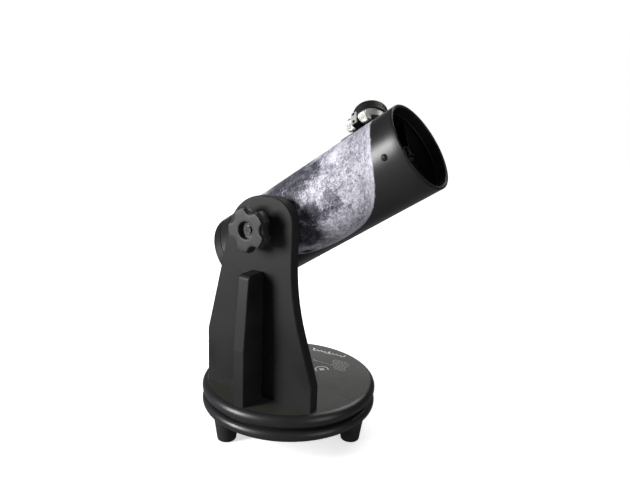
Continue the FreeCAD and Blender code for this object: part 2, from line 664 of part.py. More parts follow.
def make_tube_bracket():
    """The round boss between tube and arm, its screws and the bolt that is the altitude shaft."""
    face = Vector(0, BRACKET_FACE_Y - TUBE_AXIS_Y, TUBE_DROP)
    boss = cylinder(BRACKET_RADIUS, face, abs(face.y), Y_AXIS)
    boss = boss.cut(tube_envelope(TUBE_RADIUS))
    boss = boss.cut(cylinder(ALT_BOLT_RADIUS + SCREW_GAP, face, abs(face.y), Y_AXIS))

    screws = []
    holes = []
    for side in (-1, 1):
        height = TUBE_DROP + BRACKET_SCREW_HEAD_RADIUS
        seat_y = -math.sqrt(TUBE_BORE ** 2 - height ** 2)
        seat = Vector(side * BRACKET_SCREW_OFFSET, seat_y, TUBE_DROP)
        screws.append(pan_screw(seat, -Y_AXIS, BRACKET_SCREW_HEAD_RADIUS, BRACKET_SCREW_HEAD_HEIGHT,
                                BRACKET_SCREW_RADIUS, bracket_bite(seat_y)))
        holes.append(cylinder(BRACKET_SCREW_RADIUS + SCREW_GAP, seat, bracket_bite(seat_y), -Y_AXIS))
    for hole in holes:
        boss = boss.cut(hole)
    in_tube("tube_bracket", boss)
    in_tube("bracket_screws", group(screws))

    height = TUBE_DROP + ALT_BOLT_HEAD_RADIUS
    seat_y = -math.sqrt(TUBE_BORE ** 2 - height ** 2)
    tip_y = KNOB_FACE_Y + KNOB_RECESS_DEPTH - ALT_BOLT_SHORT - TUBE_AXIS_Y
    seat = Vector(0, seat_y, TUBE_DROP)
    in_tube("altitude_bolt", pan_screw(seat, -Y_AXIS, ALT_BOLT_HEAD_RADIUS, ALT_BOLT_HEAD_HEIGHT,
                                       ALT_BOLT_RADIUS, abs(tip_y - seat_y)))
    holes.append(cylinder(ALT_BOLT_RADIUS + SCREW_GAP, seat, TUBE_RADIUS, -Y_AXIS))
    return holes


def bracket_bite(seat_y):
    """Length of a bracket screw's shank, kept short of the boss's outer face."""
    room = abs(BRACKET_FACE_Y - TUBE_AXIS_Y - seat_y)
    return min(BRACKET_SCREW_BITE, room - BODY_GAP)


# ---------------------------------------------------------------- tube
def tube_envelope(radius):
    """A long cylinder about the optical axis."""
    return cylinder(radius, Vector(-CAP_REAR, 0, 0), CAP_REAR + TUBE_FRONT, X_AXIS)


def around(radius, degrees, station):
    """A point round the optical axis, with 0 degrees up and 90 on the +Y side."""
    turn = math.radians(degrees)
    return Vector(station, radius * math.sin(turn), radius * math.cos(turn))


def inward(degrees):
    """The direction from the tube's wall to its axis."""
    return around(1.0, degrees, 0.0) * -1.0


def make_tube(bracket_holes):
    """The painted tube, its front ring and its rear cap."""
    tube = ring(TUBE_RADIUS, TUBE_BORE, Vector(-TUBE_REAR, 0, 0), TUBE_REAR + TUBE_BODY_FRONT, X_AXIS)
    for hole in bracket_holes:
        tube = tube.cut(hole)
    for angle in evenly(SPIDER_VANES, SPIDER_FIRST_ANGLE):
        start = around(TUBE_RADIUS, angle, SPIDER_STATION)
        tube = tube.cut(cylinder(SPIDER_SCREW_RADIUS + SCREW_GAP, start, 2.0 * TUBE_WALL, inward(angle)))
    window = cylinder(HOUSING_RADIUS, ORIGIN, TUBE_RADIUS + SADDLE_THICKNESS)
    turn = Placement(Vector(FOCUSER_STATION, 0, 0), Rotation(X_AXIS, -FOCUSER_ANGLE))
    tube = tube.cut(placed(window, turn))
    for start, angle in saddle_screw_places():
        depth = SADDLE_THICKNESS + 2.0 * TUBE_WALL
        tube = tube.cut(cylinder(SADDLE_SCREW_RADIUS + SCREW_GAP, start, depth, inward(angle)))
    in_tube("main_tube", tube)

    flange = ring(TUBE_RADIUS, RING_BORE_RADIUS, Vector(TUBE_BODY_FRONT, 0, 0), RING_FLANGE, X_AXIS)
    rims = edges_at(flange, lambda p: abs(p.x - TUBE_FRONT) < SAME_PLACE)
    flange = flange.makeFillet(RING_LIP_FILLET, rims)
    spigot = ring(TUBE_BORE, RING_BORE_RADIUS, Vector(TUBE_FRONT - RING_DEPTH, 0, 0),
                  RING_DEPTH - RING_FLANGE, X_AXIS)
    in_tube("front_ring", flange.fuse(spigot).removeSplitter())

    shell = cylinder(TUBE_RADIUS, Vector(-CAP_REAR, 0, 0), CAP_LENGTH, X_AXIS)
    rims = edges_at(shell, lambda p: abs(p.x + CAP_REAR) < SAME_PLACE)
    shell = shell.makeFillet(CAP_EDGE_FILLET, rims)
    spigot = cylinder(TUBE_BORE, Vector(-TUBE_REAR, 0, 0), CAP_SPIGOT, X_AXIS)
    floor = Vector(-CAP_REAR + CAP_FLOOR, 0, 0)
    hollow = cylinder(CAP_BORE_RADIUS, floor, CAP_LENGTH + CAP_SPIGOT, X_AXIS)
    cap = shell.fuse(spigot).removeSplitter().cut(hollow)
    for start in cell_screw_places():
        cap = cap.cut(cylinder(CELL_SCREW_RADIUS + SCREW_GAP, start, CAP_FLOOR, X_AXIS))
        sink = CELL_SCREW_HEAD_RADIUS + SCREW_GAP
        cap = cap.cut(cylinder(sink, start, CELL_SCREW_HEAD_HEIGHT, X_AXIS))
    in_tube("rear_cap", cap)


# ---------------------------------------------------------------- primary mirror
def cell_screw_places():
    """Points on the cap's rear face where the screws of the mirror cell stand."""
    return [around(CELL_SCREW_CIRCLE, a, -CAP_REAR) for a in evenly(CLIP_COUNT)]


def make_primary():
    """Main mirror, its cell, the clips that hold it and their screws."""
    blank = cylinder(MIRROR_RADIUS, Vector(-MIRROR_REAR, 0, 0), MIRROR_THICKNESS, X_AXIS)
    depth = MIRROR_CURVE_RADIUS - math.sqrt(MIRROR_CURVE_RADIUS ** 2 - MIRROR_RADIUS ** 2)
    centre = Vector(-MIRROR_FRONT - depth + MIRROR_CURVE_RADIUS, 0, 0)
    in_tube("primary_mirror", blank.cut(Part.makeSphere(MIRROR_CURVE_RADIUS, centre)))

    plate = cylinder(CELL_RADIUS, Vector(-MIRROR_REAR - CELL_PLATE, 0, 0), CELL_PLATE, X_AXIS)
    rim = ring(CELL_RIM_RADIUS, MIRROR_RADIUS + MIRROR_SEAT_GAP, Vector(-MIRROR_REAR, 0, 0),
               MIRROR_THICKNESS, X_AXIS)
    cell = plate.fuse(rim).removeSplitter()

    clips = []
    clip_screws = []
    for angle in evenly(CLIP_COUNT, CLIP_FIRST_ANGLE):
        inner = MIRROR_RADIUS - CLIP_OVERLAP
        block = Part.makeBox(CLIP_THICKNESS, CLIP_WIDTH, CELL_RIM_RADIUS - inner,
                             Vector(-MIRROR_FRONT, -CLIP_WIDTH / 2.0, inner))
        block.rotate(ORIGIN, X_AXIS, -angle)
        screw_radius = (MIRROR_RADIUS + MIRROR_SEAT_GAP + CELL_RIM_RADIUS) / 2.0
        seat = around(screw_radius, angle, -MIRROR_FRONT + CLIP_THICKNESS)
        length = CLIP_THICKNESS + CLIP_SCREW_BITE
        hole = cylinder(CLIP_SCREW_RADIUS + SCREW_GAP, seat, length, -X_AXIS)
        clips.append(block.common(tube_envelope(CELL_RIM_RADIUS)).cut(hole))
        cell = cell.cut(hole)
        clip_screws.append(pan_screw(seat, -X_AXIS, CLIP_SCREW_HEAD_RADIUS, CLIP_SCREW_HEAD_HEIGHT,
                                     CLIP_SCREW_RADIUS, length))
    in_tube("mirror_clips", group(clips))
    in_tube("clip_screws", group(clip_screws))

    cell_screws = []
    for start in cell_screw_places():
        seat = start + Vector(CELL_SCREW_HEAD_HEIGHT, 0, 0)
        length = CAP_FLOOR - CELL_SCREW_HEAD_HEIGHT + CELL_SCREW_BITE
        cell = cell.cut(cylinder(CELL_SCREW_RADIUS + SCREW_GAP, seat, length, X_AXIS))
        cell_screws.append(pan_screw(seat, X_AXIS, CELL_SCREW_HEAD_RADIUS, CELL_SCREW_HEAD_HEIGHT,
                                     CELL_SCREW_RADIUS, length))
    in_tube("mirror_cell", cell)
    in_tube("cell_screws", group(cell_screws))


# ---------------------------------------------------------------- secondary mirror
def make_spider():
    """The vaned support inside the tube's mouth, with its screws and nuts."""
    half = SPIDER_HUB_LENGTH / 2.0
    hub = cylinder(SPIDER_HUB_RADIUS, Vector(SPIDER_STATION - half, 0, 0), SPIDER_HUB_LENGTH, X_AXIS)
    tab_outer = math.sqrt(TUBE_BORE ** 2 - (SPIDER_TAB_WIDTH / 2.0) ** 2)
    tab_inner = tab_outer - SPIDER_TAB_THICKNESS
    spider = hub
    screws = []
    nuts = []
    low_x = SPIDER_STATION - SPIDER_VANE_WIDTH / 2.0
    vane_y = SPIDER_TAB_WIDTH / 2.0 - SPIDER_VANE_THICKNESS
    for angle in evenly(SPIDER_VANES, SPIDER_FIRST_ANGLE):
        vane = Part.makeBox(SPIDER_VANE_WIDTH, SPIDER_VANE_THICKNESS, tab_inner,
                            Vector(low_x, vane_y, 0))
        tab = Part.makeBox(SPIDER_VANE_WIDTH, SPIDER_TAB_WIDTH, SPIDER_TAB_THICKNESS,
                           Vector(low_x, -SPIDER_TAB_WIDTH / 2.0, tab_inner))
        arm = vane.fuse(tab)
        arm.rotate(ORIGIN, X_AXIS, -angle)
        start = around(tab_outer, angle, SPIDER_STATION)
        nut_seat = around(tab_inner, angle, SPIDER_STATION)
        hole = SPIDER_SCREW_RADIUS + SCREW_GAP
        spider = spider.fuse(arm).cut(cylinder(hole, start, SPIDER_TAB_THICKNESS, inward(angle)))
        head_seat = around(TUBE_RADIUS, angle, SPIDER_STATION)
        length = TUBE_RADIUS - tab_inner + SPIDER_NUT_HEIGHT + SPIDER_SCREW_PROUD
        screws.append(pan_screw(head_seat, inward(angle), SPIDER_SCREW_HEAD_RADIUS,
                                SPIDER_SCREW_HEAD_HEIGHT, SPIDER_SCREW_RADIUS, length))
        nut = hexagon(SPIDER_NUT_FLATS, nut_seat, SPIDER_NUT_HEIGHT, inward(angle))
        nuts.append(nut.cut(cylinder(hole, nut_seat, SPIDER_NUT_HEIGHT, inward(angle))))

    bolt_hole = cylinder(SECONDARY_BOLT_RADIUS + SCREW_GAP, Vector(SPIDER_STATION - half, 0, 0),
                         SPIDER_HUB_LENGTH, X_AXIS)
    spider = spider.cut(bolt_hole)
    for angle in evenly(TILT_SCREW_COUNT):
        start = around(TILT_SCREW_CIRCLE, angle, SPIDER_STATION - half)
        spider = spider.cut(cylinder(TILT_SCREW_RADIUS + SCREW_GAP, start, SPIDER_HUB_LENGTH, X_AXIS))
    in_tube("spider", spider.removeSplitter())
    in_tube("spider_screws", group(screws))
    in_tube("spider_nuts", group(nuts))


def make_secondary():
    """The flat diagonal mirror, its holder and the screws that tilt it."""
    length = 2.0 * SECONDARY_RADIUS + 4.0 * SECONDARY_THICKNESS
    slab = Part.makeBox(length * 2.0, length * 2.0, SECONDARY_THICKNESS,
                        Vector(-length, -length, -SECONDARY_THICKNESS))
    slab.Placement = diagonal_place()
    rod = cylinder(SECONDARY_RADIUS, Vector(FOCUSER_STATION - length, 0, 0), 2.0 * length, X_AXIS)
    in_tube("secondary_mirror", rod.common(slab))

    hub_rear = SPIDER_STATION - SPIDER_HUB_LENGTH / 2.0
    top = hub_rear - HOLDER_GAP
    start = FOCUSER_STATION - length
    holder = cylinder(HOLDER_RADIUS, Vector(start, 0, 0), top - start, X_AXIS)
    half = 2.0 * length
    front = Part.makeBox(2.0 * half, 2.0 * half, 2.0 * half, Vector(-half, -half, -SECONDARY_THICKNESS))
    front.Placement = diagonal_place()
    holder = holder.cut(front)

    hub_front = SPIDER_STATION + SPIDER_HUB_LENGTH / 2.0
    bolt_length = SPIDER_HUB_LENGTH + HOLDER_GAP + SECONDARY_BOLT_BITE
    seat = Vector(hub_front, 0, 0)
    holder = holder.cut(cylinder(SECONDARY_BOLT_RADIUS + SCREW_GAP, seat, bolt_length, -X_AXIS))
    in_tube("secondary_holder", holder)
    bolt = pan_screw(seat, -X_AXIS, SECONDARY_BOLT_HEAD_RADIUS, SECONDARY_BOLT_HEAD_HEIGHT,
                     SECONDARY_BOLT_RADIUS, bolt_length)
    in_tube("secondary_bolt", bolt)
    screws = []
    for angle in evenly(TILT_SCREW_COUNT):
        seat = around(TILT_SCREW_CIRCLE, angle, hub_front)
        screws.append(pan_screw(seat, -X_AXIS, TILT_SCREW_HEAD_RADIUS, SECONDARY_BOLT_HEAD_HEIGHT,
                                TILT_SCREW_RADIUS, SPIDER_HUB_LENGTH + HOLDER_GAP))
    in_tube("tilt_screws", group(screws))


def diagonal_place():
    """The diagonal mirror's face: its normal points half way between rearwards and up the drawtube."""
    normal = around(1.0, FOCUSER_ANGLE, -1.0).normalize()
    return Placement(Vector(FOCUSER_STATION, 0, 0), Rotation(Z_AXIS, normal))


# ---------------------------------------------------------------- focuser
def saddle_screw_places():
    """Heads of the saddle's screws, each with its angle round the tube."""
    places = []
    for side in (-1, 1):
        for end in (-1, 1):
            angle = FOCUSER_ANGLE + side * SADDLE_SCREW_ANGLE
            station = FOCUSER_STATION + end * SADDLE_SCREW_X
            places.append((around(TUBE_RADIUS + SADDLE_THICKNESS, angle, station), angle))
    return places


def make_focuser():
    """Saddle and housing as one casting, with the hump that holds the pinion."""
    reach = TUBE_RADIUS + SADDLE_THICKNESS
    blank = Part.makeBox(2.0 * SADDLE_HALF_LENGTH, 2.0 * SADDLE_HALF_WIDTH, reach,
                         Vector(-SADDLE_HALF_LENGTH, -SADDLE_HALF_WIDTH, 0))

    def upright(edge):
        points = edge.discretize(3)
        return abs(abs(points[0].z - points[-1].z) - reach) < SAME_PLACE

    blank = blank.makeFillet(SADDLE_CORNER_RADIUS, [e for e in blank.Edges if upright(e)])
    outside = cylinder(reach, Vector(-SADDLE_HALF_LENGTH, 0, 0), 2.0 * SADDLE_HALF_LENGTH, X_AXIS)
    saddle = blank.common(outside)

    tower = cylinder(HOUSING_RADIUS, ORIGIN, HOUSING_TOP)
    pocket_radius = PINION_PITCH_RADIUS + ADDENDUM + BODY_GAP
    hump_reach = -PINION_Y + pocket_radius + HUMP_WALL
    hump = Part.makeBox(2.0 * HUMP_HALF_WIDTH, hump_reach, HOUSING_TOP - HUMP_BOTTOM,
                        Vector(-HUMP_HALF_WIDTH, -hump_reach, HUMP_BOTTOM))
    housing = saddle.fuse(tower).fuse(hump).removeSplitter()

    inside = cylinder(TUBE_RADIUS, Vector(-SADDLE_HALF_LENGTH, 0, 0), 2.0 * SADDLE_HALF_LENGTH, X_AXIS)
    housing = housing.cut(inside)
    housing = housing.cut(cylinder(DRAWTUBE_RADIUS + RUNNING, ORIGIN, HOUSING_TOP))
    slot_width = RACK_WIDTH + 2.0 * BODY_GAP
    slot_reach = RACK_PITCH_REACH + ADDENDUM + BODY_GAP
    slot = Part.makeBox(slot_width, slot_reach, HOUSING_TOP, Vector(-slot_width / 2.0, -slot_reach, 0))
    housing = housing.cut(slot)
    pinion_centre = Vector(-slot_width / 2.0, PINION_Y, PINION_HEIGHT)
    housing = housing.cut(cylinder(pocket_radius, pinion_centre, slot_width, X_AXIS))
    shaft_start = Vector(-HUMP_HALF_WIDTH, PINION_Y, PINION_HEIGHT)
    shaft_bore = PINION_SHAFT_RADIUS + RUNNING
    housing = housing.cut(cylinder(shaft_bore, shaft_start, 2.0 * HUMP_HALF_WIDTH, X_AXIS))
    for side in (-1, 1):
        start = Vector(side * HUMP_HALF_WIDTH, PINION_Y, PINION_HEIGHT)
        room = FOCUS_KNOB_LENGTH + 2.0 * BODY_GAP
        housing = housing.cut(cylinder(FOCUS_KNOB_RADIUS + BODY_GAP, start, room, X_AXIS * side))

    screws = []
    nuts = []
    turn = Placement(Vector(FOCUSER_STATION, 0, 0), Rotation(X_AXIS, -FOCUSER_ANGLE)).inverse()
    for start, angle in saddle_screw_places():
        length = SADDLE_THICKNESS + TUBE_WALL + SADDLE_NUT_HEIGHT + SPIDER_SCREW_PROUD
        screws.append(pan_screw(start, inward(angle), SADDLE_SCREW_HEAD_RADIUS, SADDLE_SCREW_HEAD_HEIGHT,
                                SADDLE_SCREW_RADIUS, length))
        hole = cylinder(SADDLE_SCREW_RADIUS + SCREW_GAP, start, 2.0 * SADDLE_THICKNESS, inward(angle))
        housing = housing.cut(placed(hole, turn))
        seat = around(TUBE_BORE, angle, start.x)
        nut = hexagon(SADDLE_NUT_FLATS, seat, SADDLE_NUT_HEIGHT, inward(angle))
        bore = cylinder(SADDLE_SCREW_RADIUS + SCREW_GAP, seat, SADDLE_NUT_HEIGHT, inward(angle))
        nuts.append(nut.common(tube_envelope(TUBE_BORE)).cut(bore))
    in_tube("focuser_screws", group(screws))
    in_tube("focuser_nuts", group(nuts))
    make_pinion_cover(housing, hump_reach)


def make_pinion_cover(housing, hump_reach):
    """The strip on the hump's outer face that closes the pinion's pocket."""
    height = HOUSING_TOP - HUMP_BOTTOM
    cover = Part.makeBox(2.0 * HUMP_HALF_WIDTH, COVER_THICKNESS, height,
                         Vector(-HUMP_HALF_WIDTH, -hump_reach - COVER_THICKNESS, HUMP_BOTTOM))
    screws = []
    for z in (HUMP_BOTTOM + COVER_EDGE, HOUSING_TOP - COVER_EDGE):
        seat = Vector(0, -hump_reach - COVER_THICKNESS, z)
        length = COVER_THICKNESS + COVER_SCREW_BITE
        screws.append(pan_screw(seat, Y_AXIS, COVER_SCREW_HEAD_RADIUS, COVER_SCREW_HEAD_HEIGHT,
                                COVER_SCREW_RADIUS, length))
        hole = cylinder(COVER_SCREW_RADIUS + SCREW_GAP, seat, length, Y_AXIS)
        cover = cover.cut(hole)
        housing = housing.cut(hole)
    in_focuser("focuser_housing", housing)
    in_focuser("pinion_cover", cover)
    in_focuser("pinion_cover_screws", group(screws))


def make_drawtube():
    """The sliding tube that holds the eyepiece, its rack and the clamp screw."""
    bore = EYEPIECE_BARREL_RADIUS + RUNNING
    stem = cylinder(DRAWTUBE_RADIUS, Vector(0, 0, DRAWTUBE_BOTTOM), COLLAR_BOTTOM - DRAWTUBE_BOTTOM)
    collar = cylinder(COLLAR_RADIUS, Vector(0, 0, COLLAR_BOTTOM), COLLAR_HEIGHT)
    tube = stem.fuse(collar).removeSplitter()
    tube = tube.cut(cylinder(bore, ORIGIN, COLLAR_TOP))
    rack_length = COLLAR_BOTTOM - DRAWTUBE_BOTTOM
    flat = Part.makeBox(RACK_WIDTH, DRAWTUBE_RADIUS, rack_length,
                        Vector(-RACK_WIDTH / 2.0, -RACK_FLAT - DRAWTUBE_RADIUS, DRAWTUBE_BOTTOM))
    tube = tube.cut(flat)
    direction = polar(1.0, THUMBSCREW_ANGLE)
    height = Vector(0, 0, COLLAR_TOP - THUMBSCREW_DROP)
    tube = tube.cut(cylinder(THUMBSCREW_RADIUS + RUNNING, height, 2.0 * COLLAR_RADIUS, direction))
    in_focuser("drawtube", tube)
    in_focuser("focus_rack", rack(rack_length))

    tip = EYEPIECE_BARREL_RADIUS + BODY_GAP
    neck_end = COLLAR_RADIUS + THUMBSCREW_NECK
    shank = cylinder(THUMBSCREW_RADIUS, height + direction * tip, neck_end - tip, direction)
    head_start = height + direction * neck_end
    head = cylinder(THUMBSCREW_HEAD_RADIUS, head_start, THUMBSCREW_HEAD_LENGTH, direction)
    in_focuser("eyepiece_thumbscrew", shank.fuse(head).removeSplitter())


def tooth_half_widths():
    """Half the thickness of a tooth at its tip and at its root."""
    pitch = math.pi * RACK_MODULE
    half = (pitch / 2.0 - TOOTH_BACKLASH / 2.0) / 2.0
    lean = math.tan(math.radians(PRESSURE_ANGLE))
    return half - ADDENDUM * lean, half + DEDENDUM * lean


def rack(length):
    """A toothed strip that lies in a flat on the near side of the drawtube."""
    pitch = math.pi * RACK_MODULE
    tip, root = tooth_half_widths()
    tip_y = -(RACK_PITCH_REACH + ADDENDUM)
    root_y = -(RACK_PITCH_REACH - DEDENDUM)
    low = DRAWTUBE_BOTTOM
    high = DRAWTUBE_BOTTOM + length
    flat_y = -RACK_FLAT
    points = [Vector(0, flat_y, low), Vector(0, root_y, low)]
    count = int((PINION_HEIGHT - low) / pitch)
    centre = PINION_HEIGHT - count * pitch
    while centre + root < high:
        if centre - root > low:
            points.append(Vector(0, root_y, centre - root))
            points.append(Vector(0, tip_y, centre - tip))
            points.append(Vector(0, tip_y, centre + tip))
            points.append(Vector(0, root_y, centre + root))
        centre += pitch
    points.append(Vector(0, root_y, high))
    points.append(Vector(0, flat_y, high))
    points.append(points[0])
    strip = Part.Face(Part.makePolygon(points)).extrude(Vector(RACK_WIDTH, 0, 0))
    strip.translate(Vector(-RACK_WIDTH / 2.0, 0, 0))
    return strip


def make_pinion():
    """The pinion with its shaft, and the knob on each end of it."""
    tip, root = tooth_half_widths()
    outer = PINION_PITCH_RADIUS + ADDENDUM
    inner = PINION_PITCH_RADIUS - DEDENDUM
    points = []
    for angle in evenly(PINION_TEETH, 360.0 / PINION_TEETH / 2.0):
        turn = math.radians(angle)
        out = Vector(0, math.cos(turn), math.sin(turn))
        side = Vector(0, -math.sin(turn), math.cos(turn))
        points.append(out * inner - side * root)
        points.append(out * outer - side * tip)
        points.append(out * outer + side * tip)
        points.append(out * inner + side * root)
    points.append(points[0])
    gear = Part.Face(Part.makePolygon(points)).extrude(Vector(RACK_WIDTH, 0, 0))
    gear.translate(Vector(-RACK_WIDTH / 2.0, PINION_Y, PINION_HEIGHT))
    knob_start = HUMP_HALF_WIDTH + BODY_GAP
    shaft_half = knob_start + FOCUS_KNOB_BORE
    shaft_end = Vector(-shaft_half, PINION_Y, PINION_HEIGHT)
    shaft = cylinder(PINION_SHAFT_RADIUS, shaft_end, 2.0 * shaft_half, X_AXIS)
    in_focuser("pinion_shaft", gear.fuse(shaft).removeSplitter())

    for name, side in (("focus_knob_front", 1), ("focus_knob_rear", -1)):
        start = Vector(side * knob_start, PINION_Y, PINION_HEIGHT)
        knob = cylinder(FOCUS_KNOB_RADIUS, start, FOCUS_KNOB_LENGTH, X_AXIS * side)
        for angle in evenly(FOCUS_KNOB_GROOVES):
            turn = math.radians(angle)
            off = Vector(0, math.cos(turn), math.sin(turn)) * FOCUS_KNOB_RADIUS
            groove = cylinder(FOCUS_KNOB_GROOVE_RADIUS, start + off, FOCUS_KNOB_LENGTH, X_AXIS * side)
            knob = knob.cut(groove)
        knob = knob.cut(cylinder(PINION_SHAFT_RADIUS, start, FOCUS_KNOB_BORE, X_AXIS * side))
        in_focuser(name, knob)


# ---------------------------------------------------------------- eyepiece
def make_eyepiece():
    """The eyepiece's barrel, body and two lenses."""
    inner = EYEPIECE_BARREL_RADIUS - EYEPIECE_BARREL_WALL
    low = EYEPIECE_SEAT - EYEPIECE_BARREL_LENGTH
    barrel = ring(EYEPIECE_BARREL_RADIUS, inner, Vector(0, 0, low), EYEPIECE_BARREL_LENGTH)
    in_focuser("eyepiece_barrel", barrel)
    field_z = low + LENS_RECESS
    field = cylinder(inner, Vector(0, 0, field_z), FIELD_LENS_THICKNESS)
    in_focuser("field_lens", field)

    top = EYEPIECE_SEAT + EYEPIECE_BODY_HEIGHT
    edge_z = top - EYEPIECE_DOME_HEIGHT
    top_radius = EYEPIECE_BODY_RADIUS - EYEPIECE_DOME_INSET
    body = revolve([
        (0, EYEPIECE_SEAT),
        (EYEPIECE_BODY_RADIUS, EYEPIECE_SEAT),
        (EYEPIECE_BODY_RADIUS, edge_z),
        (top_radius, top),
        (0, top),
    ])
    lens_z = top - LENS_RECESS - EYE_LENS_THICKNESS
    body = body.cut(cylinder(EYE_LENS_RADIUS, Vector(0, 0, lens_z), top - lens_z))
    stop = EYE_LENS_RADIUS - LENS_RECESS
    body = body.cut(cylinder(stop, Vector(0, 0, EYEPIECE_SEAT), top - EYEPIECE_SEAT))
    in_focuser("eyepiece_body", body)
    in_focuser("eye_lens", cylinder(EYE_LENS_RADIUS, Vector(0, 0, lens_z), EYE_LENS_THICKNESS))


def main():
    """Build every sub-part and write one STEP file for each."""
    make_base()
    make_azimuth_pivot()
    make_arm()
    make_altitude_pivot()
    make_tube(make_tube_bracket())
    make_primary()
    make_spider()
    make_secondary()
    make_focuser()
    make_drawtube()
    make_pinion()
    make_eyepiece()

    os.makedirs("parts", exist_ok=True)
    for name, shape in parts.items():
        solids = shape.Solids
        if not solids or not all(s.isValid() and s.Volume > 0 for s in solids):
            raise ValueError("%s is not a valid solid" % name)
        shape = solids[0] if len(solids) == 1 else Part.Compound(solids)
        shape.exportStep("parts/%s.step" % name)
        print("%-22s solids %d volume %.1f" % (name, len(solids), shape.Volume))


main()
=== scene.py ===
"""Looks of a small reflecting telescope that stands on a turntable base with one upright arm.

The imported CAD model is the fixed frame.  Most of its nodes stay and are given finishes here; the pieces whose
shape matters most to the eye are made again as fine surfaces.  Sizes in this file are in millimetres, and a mesh
is turned into metres when it is written.
"""

import json
import logging
import math
from dataclasses import dataclass, field
from enum import Enum
from typing import Any, Callable, Optional

import bpy
import numpy as np
from mathutils import Matrix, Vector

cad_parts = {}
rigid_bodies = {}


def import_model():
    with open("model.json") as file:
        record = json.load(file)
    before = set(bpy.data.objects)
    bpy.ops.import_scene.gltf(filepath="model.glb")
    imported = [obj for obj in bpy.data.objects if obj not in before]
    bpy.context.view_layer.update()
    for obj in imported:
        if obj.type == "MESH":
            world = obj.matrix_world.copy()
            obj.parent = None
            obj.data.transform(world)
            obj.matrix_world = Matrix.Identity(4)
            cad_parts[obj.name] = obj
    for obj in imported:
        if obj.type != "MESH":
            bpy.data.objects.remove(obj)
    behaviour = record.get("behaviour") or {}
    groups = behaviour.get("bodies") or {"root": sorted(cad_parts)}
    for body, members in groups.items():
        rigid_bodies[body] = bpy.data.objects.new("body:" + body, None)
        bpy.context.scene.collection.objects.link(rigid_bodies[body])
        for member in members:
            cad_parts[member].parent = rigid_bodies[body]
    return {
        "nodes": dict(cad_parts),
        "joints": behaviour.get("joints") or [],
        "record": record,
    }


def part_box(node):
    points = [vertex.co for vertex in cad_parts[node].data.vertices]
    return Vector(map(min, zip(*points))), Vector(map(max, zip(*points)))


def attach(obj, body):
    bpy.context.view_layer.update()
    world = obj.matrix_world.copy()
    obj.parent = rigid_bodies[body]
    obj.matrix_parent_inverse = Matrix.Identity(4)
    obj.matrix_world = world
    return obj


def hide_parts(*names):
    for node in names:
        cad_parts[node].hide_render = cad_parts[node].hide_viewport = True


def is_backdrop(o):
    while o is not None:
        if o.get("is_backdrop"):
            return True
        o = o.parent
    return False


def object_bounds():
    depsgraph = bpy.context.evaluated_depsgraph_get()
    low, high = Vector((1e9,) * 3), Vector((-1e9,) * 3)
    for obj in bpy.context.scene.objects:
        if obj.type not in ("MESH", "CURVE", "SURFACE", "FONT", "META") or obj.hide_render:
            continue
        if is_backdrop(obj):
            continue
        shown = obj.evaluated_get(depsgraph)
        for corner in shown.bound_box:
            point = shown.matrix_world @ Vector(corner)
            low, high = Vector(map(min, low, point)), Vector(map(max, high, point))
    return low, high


Array = np.ndarray
Colour = tuple[float, float, float]

MM = 0.001
TURN = 2.0 * math.pi
TINY = 1e-6

log = logging.getLogger("telescope")


# ---------------------------------------------------------------------------------------------- frames
def unit(vector: Array) -> Array:
    """Returns a vector of length one that points the same way as the given one."""
    return np.asarray(vector, float) / np.linalg.norm(vector)


@dataclass(frozen=True)
class Axes:
    """A local frame: an origin in millimetres and three unit vectors of the object's frame."""

    origin: Array
    x: Array
    y: Array
    z: Array

    def place(self, points: Array) -> Array:
        """Moves points from this frame into the object's frame.

        Args:
            points: an array of local points whose last axis holds x, y and z.

        Returns:
            The same points in the object's frame, in millimetres.
        """
        return self.origin + points @ np.stack([self.x, self.y, self.z])

    def at(self, x: float, y: float, z: float) -> "Axes":
        """Returns the same directions with the origin moved to a local point."""
        return Axes(self.place(np.array([x, y, z], float)), self.x, self.y, self.z)

    def rotation(self) -> tuple[float, float, float]:
        """Returns the Euler angles that turn the object's frame into this one."""
        return tuple(Matrix(np.stack([self.x, self.y, self.z], axis=1).tolist()).to_euler("XYZ"))


WORLD = Axes(np.zeros(3), np.array([1.0, 0, 0]), np.array([0, 1.0, 0]), np.array([0, 0, 1.0]))


class Model:
    """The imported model: its record, its nodes, and the frames of its sub-assemblies."""

    def __init__(self) -> None:
        """Loads the frame and reads the axes of the tube and of the focuser from its joints and mounts."""
        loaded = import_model()
        self.nodes = loaded["nodes"]
        self.record = loaded["record"]
        self.joints = {joint["name"]: joint for joint in loaded["joints"]}
        self.mounts = {mount["name"]: mount for mount in self.record["mounts"]}
        self.cad_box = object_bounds()

        tilt = self.joints["altitude_tilt"]
        self.pivot = np.array(tilt["pos_m"]) / MM
        mouth = self.mounts["tube_mouth"]
        along = unit(mouth["axis"])
        up = unit(np.cross(along, [0, 1.0, 0]))
        mouth_point = np.array(mouth["pos_m"]) / MM
        under_pivot = mouth_point - along * float(np.dot(mouth_point - self.pivot, along))
        self.tube = Axes(under_pivot, along, np.array([0, 1.0, 0]), up)
        self.mouth_station = float(np.dot(mouth_point - under_pivot, along))

        slide = unit(self.joints["focus_slide"]["axis"])
        eyepiece = np.array(self.mounts["eyepiece_outside"]["pos_m"]) / MM
        height = float(np.dot(eyepiece - under_pivot, slide))
        foot = eyepiece - slide * height
        self.focuser = Axes(foot, along, np.cross(slide, along), slide)
        self.eyepiece_height = height

    def slot_of(self, node: str) -> str:
        """Returns the record's material slot of a CAD node."""
        return next(row["material_slot"] for row in self.record["subparts"] if row["node"] == node)


